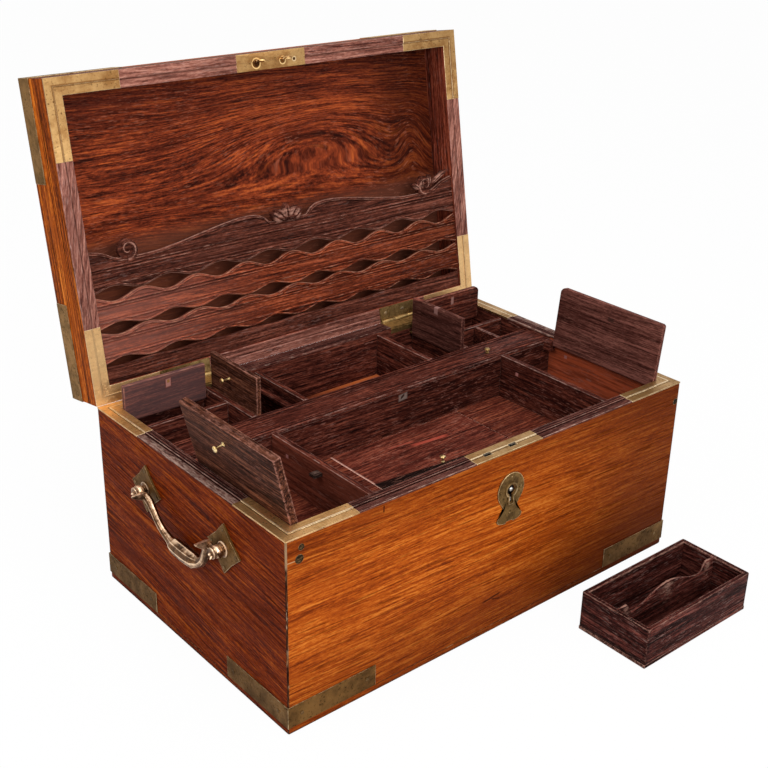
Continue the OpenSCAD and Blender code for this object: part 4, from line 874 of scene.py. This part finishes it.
# How far the facing's foot lies from the rim's plane, and the two ends of the link plate.
lid_foot, link_left, link_right = 1.65, -44, 40
lid_sides = {"front": lambda s, u, t: opened(s, 2 * half_y - u, lid_foot - t),
             "back": lambda s, u, t: opened(s, u, lid_foot - t),
             "left": lambda s, u, t: opened(-half_x + u, half_y - s, lid_foot - t),
             "right": lambda s, u, t: opened(half_x - u, half_y - s, lid_foot - t)}
solid("lid_facing_ends", [moulding(lid_line, -leg_y, leg_y, lid_sides[side]) for side in ("left", "right")],
      lid_facing_y, "lid")
solid("lid_facing_long", [moulding(lid_line, -leg_x, link_left, lid_sides["front"]),
                          moulding(lid_line, link_right, leg_x, lid_sides["front"]),
                          *(moulding(lid_hinge_line, *run, lid_sides["back"]) for run in hinge_side)],
      lid_facing_x, "lid", ("lid_rim_facing",))


def lid_step(x, y, z):
    """Distance from a line 8.5 mm inside the open lid's sides, on its rim."""
    d = (y - hinge[1] * 0.001) * -lid_y[1] + (z - hinge[2] * 0.001) * -lid_y[2]
    return (0.001 * half_x - abs(x)).least(d.least(0.002 * half_y - d)) - step_in


hook_place = 0.195 + 0.3 * math.sin(open_angle)


def hook_hole(x0, inner, outer):
    """A ring on the link plate round a hook or a screw, between two radii."""
    def mask(x, y, z):
        across, along = x - x0, z - hook_place
        r = (across * across + along * along) ** 0.5
        return r.rise(outer + 0.0004, outer) * r.rise(inner - 0.0004, inner) * y.rise(0.16, 0.17)
    return mask


# The lid's plates carry a painted shadow along the step 8.5 mm in, away from the middle. They are paler
# towards the hinges and darker near the top, with dark holes in pale rings round the hooks and screws.
lid_brass = metal("lid_brass", (214, 170, 112), (156, 110, 62), spots=0.9, scratch=0.5, stains_and_painted_light=(
    (lambda x, y, z: (lid_step(x, y, z) + 0.0014).rise(-0.0008, 0.0002)
     * lid_step(x, y, z).rise(0.0014, 0.0004) * 0.7 * abs(x).rise(0.06, 0.061), (110, 66, 30)),
    (wash("z", 0.32, 0.24, 0.5), (255, 214, 156)), (wash("z", 0.43, 0.487, 0.35), (120, 88, 52)),
    (hook_hole(-0.0215, 0.0, 0.0044), (104, 64, 30)), (hook_hole(-0.0195, 0.0, 0.0030), (66, 38, 18)),
    (hook_hole(-0.0205, 0.0046, 0.0054), (236, 196, 132)), (hook_hole(0.012, 0.0, 0.0030), (120, 78, 38)),
    (hook_hole(0.012, 0.0032, 0.0040), (236, 200, 140)), (hook_hole(0.0265, 0.0, 0.0016), (84, 52, 28)),
    (hook_hole(0.0265, 0.0018, 0.0024), (226, 196, 150))))
lid_strap = metal("lid_strap", (156, 114, 58), (102, 74, 36), spots=0.8, rough=0.45,
                  stains_and_painted_light=((wash("x", 0.0, 0.1, 0.5), (206, 164, 100)),))
for name in ("lid_corner_plates", "link_plate"):
    dress(name, lid_brass, edge_brass, 0.0003)
dress("lid_edge_straps", lid_strap, strap_edge, 0.0003)
dress("lid_hinge_leaves", hinge_brass, None, 0.0001)
solid("leaf_screws", [dome(opened(x, 10, 0.15), 2.0, 0.2, tuple(-lid_z)) for x in (-160, -136, 115, 140)],
      edge_brass, "lid")


# Letter rack: a carved crest over two waved slats and a rail, worked with beads and fixed
# across the lid 4 mm behind its rim. Sizes in millimetres: x along the lid, d from the hinges.
rack_behind, rack_thick = 4.15, 5.0


def in_rack(x, d, rise):
    """Points of the rack: rise is towards the eye from its face, 4.15 mm behind the rim's plane."""
    return opened(x, d, rack_behind - rise)


def bead(gap, half=1.2):
    """Height of a worked bead at a distance from its middle: a round back between two grooves."""
    gap = np.abs(gap)
    return (np.where(gap < half, 0.5 * (1 + np.cos(np.pi * gap / half)), 0) * 0.7
            - 0.8 * np.exp(-((gap - half * 1.25) / 0.5) ** 2))


wave_l = 60.0


def waves(x, height):
    """The waved edge: 0 at each full wave and its height half-way between."""
    return height * (1 - np.cos(2 * np.pi * x / wave_l)) / 2


def rack_piece(low, high, lines, follow, columns=468, rows=84):
    """A rack board: across it from its low edge to its high edge, along it in x. Its face carries
    beads, straight ones at fixed distances and others that keep beside its edges."""
    x = np.linspace(-inside_x, inside_x, columns)[:, None]
    t = (1 - np.cos(np.pi * np.linspace(0, 1, rows)))[None, :] / 2
    lo, hi = low(x), high(x)
    d = lo + (hi - lo) * (t * 0.35 + np.linspace(0, 1, rows)[None, :] * 0.65)
    rise = sum(bead(d - at) for at in lines) + 0 * d
    for edge, inset in follow:
        rise = rise + bead((lo if edge == "low" else hi) + inset - d)
    margin = np.minimum(d - lo, hi - d)
    wear = np.clip(rise * 0.8, 0, 0.5) + 0.9 * np.exp(-(margin / 0.7) ** 2)
    rise = rise - 0.8 * (1 - np.minimum(margin, 1.0)) ** 2 + 0.12 * np.sin(x * 0.11 + 3) * np.sin(d * 0.3)
    face = in_rack(x, d, rise)
    back = in_rack(x, np.stack([hi[:, 0], lo[:, 0]], -1), -rack_thick)
    return np.concatenate([face, back], 1), np.concatenate([wear, 0 * wear[:, :2]], 1)


crest_line = np.array([(0, 139), (22, 139), (25, 140.5), (30, 145.5), (38, 149.3), (50, 150.4), (62, 150),
                       (80, 148), (100, 144.6), (130, 139.5), (155, 136), (168, 135.4), (184, 135.4),
                       (200, 136.2), (206, 138), (214, 142.6), (222, 145.5), (233, 147.6)])


def crest_top(x):
    """The crest's upper edge: a curve through measured heights, the same on both sides."""
    u = np.abs(x)
    near = [np.interp(u + step, crest_line[:, 0], crest_line[:, 1]) for step in (-2, -1, 0, 1, 2)]
    return sum(near) / 5


def carved_lobe(root, angle, length, half_width, height, bend=0.0):
    """A carved leaf lobe: s runs along it and t across it. It is a half round that swells and
    closes along s, bends sideways with s squared, and has a groove down its middle."""
    s = np.linspace(0, 1, 40)[:, None]
    t = np.linspace(-1, 1, 29)[None, :]
    wide = half_width * np.sin(np.pi * np.clip(s, 0.02, 0.99)) ** 0.6
    side = wide * t + bend * s ** 2
    rise = height * np.sqrt(np.clip(1 - t ** 2, 0, 1)) * np.sin(np.pi * np.clip(s * 0.85 + 0.12, 0, 1)) ** 0.5
    groove = np.exp(-(np.abs(t) / 0.16) ** 2)
    rise = rise - 0.35 * height * groove * np.sin(np.pi * s)
    x = root[0] + length * s * np.sin(angle) + side * np.cos(angle)
    d = root[1] + length * s * np.cos(angle) - side * np.sin(angle)
    under = in_rack(x[:, ::-1], d[:, ::-1], -4.0 + 0 * x)
    return (np.concatenate([in_rack(x, d, rise), under], 1),
            np.concatenate([np.clip(0.75 - groove, 0, 1) * np.sin(np.pi * s) + 0 * t, 0 * rise], 1))


scroll_x, scroll_d = 191, 143.4


def scroll(side):
    """A volute: s winds along a spiral that opens from its eye, t goes round a half-round band
    whose width and height grow with s. It ends where the crest's edge takes it up."""
    s = np.linspace(0, 1, 90)[:, None]
    t = np.linspace(-1, 1, 17)[None, :]
    turn = -2.1 + s * 4.4 * np.pi / 2
    radius = 1.2 + 8.6 * s ** 0.8
    band = 1.2 + 2.9 * s
    x = side * (scroll_x + (radius + band * t * 0.9) * np.cos(turn))
    d = scroll_d + (radius + band * t * 0.9) * np.sin(turn)
    rise = (1.4 + 1.6 * (1 - s)) * np.sqrt(np.clip(1 - t ** 2, 0, 1)) + 0.3
    return (np.concatenate([in_rack(x, d, rise), in_rack(x[:, ::-1], d[:, ::-1], -4.6 + 0 * x)], 1),
            np.concatenate([0.8 * np.exp(-(t / 0.4) ** 2) + 0 * s, 0 * rise], 1))


def boss(side):
    """The round ground of a volute: a disc in rings about its middle."""
    r = np.array([10.0, 9.7, 8.5, 6.5, 4.0, 1.5, 0.05])[:, None]
    a = np.linspace(0, 2 * np.pi, 40, endpoint=False)[None, :]
    top = in_rack(side * scroll_x + r * np.cos(a), scroll_d + r * np.sin(a), 0.2 + 0 * r * a)
    under = in_rack(side * scroll_x + 10 * np.cos(a), scroll_d + 10 * np.sin(a), -4.6)
    return np.concatenate([under, top], 0)


crest_wood = wood("crest_wood", ((38, 17, 12), (66, 32, 24), (96, 50, 38), (134, 78, 62)),
                  across=tuple(lid_y), centre=(0.5, 0.2, 0.3), dust=0.3, worn=(166, 120, 104), run=9)
# The slats darken towards the right with painted shade and turn paler and greyer towards the left with
# painted light.
slat_wood = wood("slat_wood", ((48, 18, 12), (90, 38, 24), (130, 58, 34), (176, 90, 58)),
                 across=tuple(lid_y), centre=(0.25, 0.155, 0.35), dust=0.2, band=0.35,
                 worn=(180, 124, 100), run=9,
                 stains_and_painted_light=((wash("x", 0.02, 0.23, 0.45), None),
                         (lambda x, y, z: (x * -1).rise(0.02, 0.22) * 0.16, (214, 150, 136))))
# Each lobe: its root's x and distance from the hinges, its angle, length, half width, height
# and bend. The first five make the leaf in the middle, the others the sprig at the right.
lobes = [carved_lobe((x, d), angle, length, half_width, height, bend)
         for x, d, angle, length, half_width, height, bend in (
             (-2, 138.2, 0.0, 17.5, 4.6, 3.4, 0.0), (-4, 138, -0.62, 17.5, 4.8, 3.0, -2.5),
             (1, 138, 0.58, 17, 4.6, 3.0, 2.0), (-7, 137.6, -1.13, 18, 4.6, 3.0, 3.5),
             (4, 137.6, 1.1, 17, 4.4, 3.0, -3.2), (199, 141, 0.95, 32, 2.6, 2.6, 5.0),
             (196, 140.5, 0.1, 14, 3.4, 2.6, 3.0), (183, 139, -0.7, 12, 3.0, 2.6, -2.0),
             (188, 139, -0.2, 15, 3.4, 2.6, 2.0))]
# Each board: its low edge, its high edge, the distances of its straight beads, and how far
# other beads keep from an edge.
solid("rack_crest_carved", [rack_piece(lambda x: 104.9 + waves(x, 6.0), crest_top, (129.5, 126.6, 113.5),
                                       (("high", -2.2), ("low", 1.8))), *lobes,
                            *(part(side) for part in (scroll, boss) for side in (-1, 1))],
      crest_wood, "lid", ("rack_crest",))
solid("rack_slats_waved", [
    rack_piece(lambda x: 69.75 + waves(x, 5.5), lambda x: 104.25 - waves(x, 8.0), (94.6, 91.8, 77.6),
               (("high", -2.0), ("low", 1.4))),
    rack_piece(lambda x: 35.25 + waves(x, 5.5), lambda x: 69.25 - waves(x, 6.0), (61.8, 59.2, 43.4),
               (("high", -2.0), ("low", 1.4)))], slat_wood, "lid", ("rack_slats",))
dress("rack_rail", crest_wood, None, 0.0006)


# Compartment lids: rosewood boards that turn on pins in their lower edges, all but the left
# corner one with a brass knob. All stand open, and the two front ones lean outwards.
def flap(at, turn, length, width, half, corners=(0.8, 0.8), wear=0.9):
    """A compartment lid: its ring is a half round below, flat sides and two small quarter rounds
    on top, in x and z about the axis, and the rings follow y. Each top corner is rounded in the
    lid's own plane by its radius. The lid is then turned and set in its place."""
    small, top = 0.8, width - half
    quarter = np.radians([0, 22, 45, 68, 90])
    below = np.radians(np.linspace(180, 360, 9))
    rub = (0.3, 0.6, 0.75, 0.6, 0.45)
    right = [(half, 4, 0), (half, top - 2.4, 0), *zip(half - small + small * np.cos(quarter),
             top - small + small * np.sin(quarter), rub)]
    ring = np.array([*zip(half * np.cos(below), half * np.sin(below), (0.2,) * 9), *right, (0, top, 0.45),
                     *((-x, z, w) for x, z, w in reversed(right))])
    runs = [radius * (1 - np.sin(np.radians(np.linspace(90, 0, 7)))) for radius in (small, *corners)]
    places = [runs[0], runs[1], [2.4], length - runs[0], length - runs[2], [length - 2.4]]
    run = np.unique(np.round(np.concatenate(places), 4))
    edge = np.minimum(run, length - run)
    inset = small - np.sqrt(np.clip(small ** 2 - (small - np.minimum(edge, small)) ** 2, 0, None))
    radius = np.where(run < length / 2, corners[0], corners[1])
    drop = radius - np.sqrt(np.clip(radius ** 2 - (radius - np.minimum(edge, radius)) ** 2, 0, None))
    high = ring[:, 1] > top - 3
    lowered = ring[:, 1] - np.maximum(drop, inset)[:, None]
    z = np.where(high, lowered, ring[:, 1] * (1 - inset / half)[:, None])
    x = ring[:, 0] * (1 - inset / half)[:, None]
    own = np.stack([x, run[:, None] + 0 * x, z], -1)
    rub = np.clip(1 - (edge - 0.4) / 1.0, 0, 1)[:, None] * 0.7
    own = np.concatenate([own[:1] * (0.4, 1, 1) - (0, 0, 0.6), own, own[-1:] * (0.4, 1, 1) - (0, 0, 0.6)])
    rub = np.maximum(ring[:, 2], rub)
    return own @ np.array(turn).T + np.array(at), wear * np.concatenate([0 * rub[:1], rub, 0 * rub[:1]])


def tilt(degrees):
    """The turn about y by an angle, which leans a lid to the right."""
    c, s = math.cos(math.radians(degrees)), math.sin(math.radians(degrees))
    return ((c, 0, s), (0, 1, 0), (-s, 0, c))


sideways = ((0, 1, 0), (-1, 0, 0), (0, 0, 1))
lid_tones = ((26, 12, 7), (58, 30, 21), (88, 50, 36), (132, 82, 60))
lid_look = dict(dust=0.35, dust_colour=(140, 96, 84), gloss=0.5, worn=(164, 112, 96), run=9)
lid_wood_y = wood("lid_wood_y", lid_tones, grain=y_axis, across=z_axis, centre=(0.3, 0.6, 0.2), band=0.4,
                  **lid_look)
# On the left corner lid a pale grey wash is a painted sheen.
lid_wood_x = wood("lid_wood_x", rose_tones, across=z_axis, centre=(0.4, 0.6, 0.2), band=0.25, stains_and_painted_light=(
    (lambda x, y, z: (x * -1).rise(0.1, 0.14) * 0.3, (134, 104, 104)),
    (mark("xz", 0.191, 0.2114, 0.0018, 0.0042, 0.1, 0.75), (168, 124, 114)),
    (mark("xz", -0.184, 0.2112, 0.0034, 0.0048, 0.1, 0.9), (96, 48, 42)),
    (mark("xz", -0.184, 0.2112, 0.0026, 0.0040, 0.1, 0.8), (190, 132, 120)),
    (mark("xz", -0.1838, 0.2128, 0.0013, 0.0016, 0.1), (150, 106, 60))), **lid_look)
lid_wood_right = wood("lid_wood_right", ((42, 18, 14), (72, 37, 31), (96, 56, 48), (130, 80, 70)),
                      grain=y_axis, across=z_axis, centre=(0.3, 0.6, 0.2), band=0.5, stains_and_painted_light=(
    (wash("x", 0.17, 0.15, 0.3), None),
    (mark("yz", 0.093, 0.2256, 0.0028, 0.0058, 0.1, 0.7), (168, 126, 118)),
    (mark("yz", 0.126, 0.2285, 0.012, 0.003, -0.2, 0.6), (150, 84, 70)),
    (mark("yz", -0.071, 0.241, 0.004, 0.002, 0, 0.6), (34, 24, 20))), **lid_look)
# Heights of the pins of the rear, front left and front right lids, and the front ones' leans.
rear_pin, left_pin, right_pin, left_lean, right_lean = 183.5, 188, 189.5, -14, 6
solid("corner_lid_left", [flap((-232.6, 134.2, rear_pin), sideways, 91.2, 39, 2.5)],
      lid_wood_x, "left_corner_flap", ("left_corner_lid",))
solid("corner_lid_right", [flap((144.9, 130.5, rear_pin), sideways, 87.7, 39, 2.5, (0.8, 6.0))],
      lid_wood_x, "right_corner_flap", ("right_corner_lid",))
for name, at, turn, length, width, half, corners in (
        ("left_narrow", (-132.2, 51.4, rear_pin), tilt(0), 80.8, 50.2, 2.5, (0.8, 0.8)),
        ("front_left", (-226.633, -137.6, left_pin), tilt(left_lean), 140, 78.63, 4, (1.0, 0.8)),
        ("front_right", (229.524, -137.6, right_pin), tilt(right_lean), 140, 69.22, 2.5, (3.0, 7.0)),
        ("right_narrow", (135.7, 51.4, rear_pin), tilt(0), 80.8, 45.9, 2.5, (0.8, 0.8))):
    at_right = "right" in name
    solid(name + "_board", [flap(at, turn, length, width, half, corners, 0.6 if at_right else 0.9)],
          lid_wood_right if at_right else lid_wood_y, name + "_flap", (name + "_lid",))
knob_brass = metal("knob_brass", (250, 222, 164), (186, 148, 88), spots=0.2, rough=0.22, cell=200)
for name in ("left_narrow_knob", "front_left_knob", "front_right_knob", "right_narrow_knob",
             "right_corner_knob"):
    dress(name, knob_brass, None, 0.0001)


# Loose board: a thin rosewood board lying in a rebate of the till floor, lifted by a brass knob. Its left
# edge is rubbed pale, two reddish streaks on it are painted highlights, and a black band across its front is
# painted shadow.
hatch_wood = wood("hatch_wood", ((40, 13, 10), (74, 30, 22), (108, 50, 38), (146, 78, 58)),
                  centre=(0.45, 0.2, 0.1), dust=0.6, dust_colour=(170, 112, 94), gloss=0.5, run=12,
                  worn=(226, 176, 156), stains_and_painted_light=(
    (lambda x, y, z: x.rise(-0.0744, -0.0756) * streaky(y, x, z) * 0.75, (206, 158, 142)),
    (mark("xy", 0.026, -0.021, 0.020, 0.0022, -0.1, 0.5), (196, 84, 66)),
    (mark("xy", -0.004, -0.011, 0.014, 0.0014, -0.1, 0.4), (180, 84, 66)),
    (lambda x, y, z: (y + 0.0635 + x * 0.0935).rise(0.001, -0.001) * 0.97, (12, 7, 6))))
solid("hatch_board", [plank((-76.85, -136.4, 140.5), (93.35, 11.6, 143.5), 0.9, 1.0)],
      hatch_wood, "hatch", ("floor_hatch",))
dress("hatch_knob", knob_brass, None, 0.0001)


# Tray: a loose rosewood box with finger-jointed corners, a double bead round its rim and a
# thin carved handle that divides it.
def hoop(profile, low, high, corner=2.0):
    """A moulded frame: profile is points (inwards, up, wear), swept round a rectangle whose
    corners are rounded by a radius outside and mitred inside."""
    rings, wears = [], []
    shape = np.array(profile, float)
    for sx, sy, first in ((-1, -1, 180), (1, -1, 270), (1, 1, 0), (-1, 1, 90)):
        centre = np.array([high[0] - corner if sx > 0 else low[0] + corner,
                           high[1] - corner if sy > 0 else low[1] + corner])
        for step in (0, 22, 45, 68, 90):
            angle = math.radians(first + step)
            out = np.maximum(corner - shape[:, 0], 0)[:, None] * np.array([math.cos(angle), math.sin(angle)])
            mitre = -np.maximum(shape[:, 0] - corner, 0)[:, None] * np.array([sx, sy])
            rings.append(np.column_stack([centre + out + mitre, low[2] + shape[:, 1]]))
            wears.append(np.maximum(shape[:, 2], 0.35 if step in (22, 45, 68) else 0.1))
    return np.array(rings), np.array(wears)


def tray_joint(x, y, z):
    """The fingers of the corner joints: bands of end grain 8.6 mm high near the upright edges."""
    rows = z * (1 / 0.0172)
    finger = (rows.maths("FRACT", rows) - 0.5).rise(-0.02, 0.02)
    near_x = abs(x - 0.141).rise(0.0740, 0.0744)
    near_y = abs(y + 0.246).rise(0.0370, 0.0374)
    return near_x * (1 - finger) * 0.45 + near_y * finger * 0.45


tray_low, tray_high = (63, -287), (219, -205)
tray_look = dict(tones=((20, 7, 5), (46, 18, 15), (80, 38, 32), (122, 68, 58)), across=z_axis,
                 centre=(0.5, 0.3, 0.1), dust=0.45, gloss=0.5, band=0.45, worn=(150, 112, 98),
                 stains_and_painted_light=((tray_joint, None),))
tray_wood = wood("tray_wood", **tray_look)
tray_end = wood("tray_end", grain=y_axis, **tray_look)
# Profile points are inwards, up and wear; wear below 0 in the groove between the beads paints shade there.
tray_rim = [(0.4, 4.0, 0.3), (0, 4.6, 0.2), (0, 7, 0), (0, 41.2, 0.1), (0, 42.2, 0.4), (0.3, 42.9, 0.7),
            (1.1, 43, 0.3), (1.9, 42.8, 0.1), (2.3, 42.2, -0.8), (2.7, 42.8, 0.1), (3.6, 43, 0.3),
            (4.5, 42.9, 0.6), (5, 42.4, 0.7), (5, 40, 0.1), (5, 4.0, 0)]
tray_frame = solid("tray_frame", [hoop(tray_rim, (*tray_low, 0), (*tray_high, 43))],
                   tray_wood, "tray", ("tray_sides",), wrap=True)
tray_frame.data.materials.append(tray_end)
normals = np.empty(3 * len(tray_frame.data.polygons))
tray_frame.data.polygons.foreach_get("normal", normals)
tray_frame.data.polygons.foreach_set("material_index", (np.abs(normals[::3]) > 0.75).astype(np.int32))
solid("tray_base", [plank((*tray_low, 0), (*tray_high, 4), 0.8)], tray_wood, "tray",
      ("tray_floor",))


def tray_swell(s):
    """Height of the tray's handle above its floor: a swell in the middle, a dip, then a scroll."""
    u = np.abs(2 * s - 1)
    scroll_side = 28 + 11 * (1 - np.cos(np.pi * (u - 0.72) / 0.13)) / 2
    swell = 28 + 12.5 * (1 + np.cos(np.pi * np.minimum(u, 0.72) / 0.72)) / 2
    return np.where(u > 0.85, 39, np.where(u > 0.72, scroll_side, swell))


# The handle's section is a half round on flat sides: s runs along it and t goes over its top.
# It is thicker, and fluted, at its scrolls and in its middle.
handle_y, handle_foot, handle_left, handle_long = -246, 4, 68, 146
s = np.linspace(0, 1, 220)[:, None]
t = np.linspace(-90, 90, 13)[None, :]
u = np.abs(2 * s - 1)
half = 1.6 + 0.5 * np.exp(-((u - 0.86) / 0.08) ** 2) + 0.45 * np.exp(-(u / 0.16) ** 2)
at_scroll, at_middle = np.exp(-((u - 0.86) / 0.07) ** 2), np.exp(-(u / 0.14) ** 2)
flute = 0.35 * at_scroll * np.cos(u * 150) + 0.3 * at_middle * np.cos(u * 60)
x = handle_left + handle_long * s
y = handle_y + (half + flute) * np.sin(np.radians(t))
z = handle_foot + tray_swell(s) - 1.6 + 1.6 * np.cos(np.radians(t))
foot_x = np.concatenate([x, x], 1)
foot = np.stack([foot_x, np.concatenate([handle_y + half, handle_y - half], 1), 0 * foot_x + handle_foot], -1)
wear = 0.25 + 0.35 * np.cos(np.radians(3 * t)) + 0.5 * at_middle + 0.5 * at_scroll + 0 * t
solid("tray_grip", [(np.concatenate([np.stack([x + 0 * t, y, z], -1), foot], 1),
                     np.concatenate([wear, 0 * x, 0 * x], 1))],
      tray_wood, "tray", ("tray_handle",))
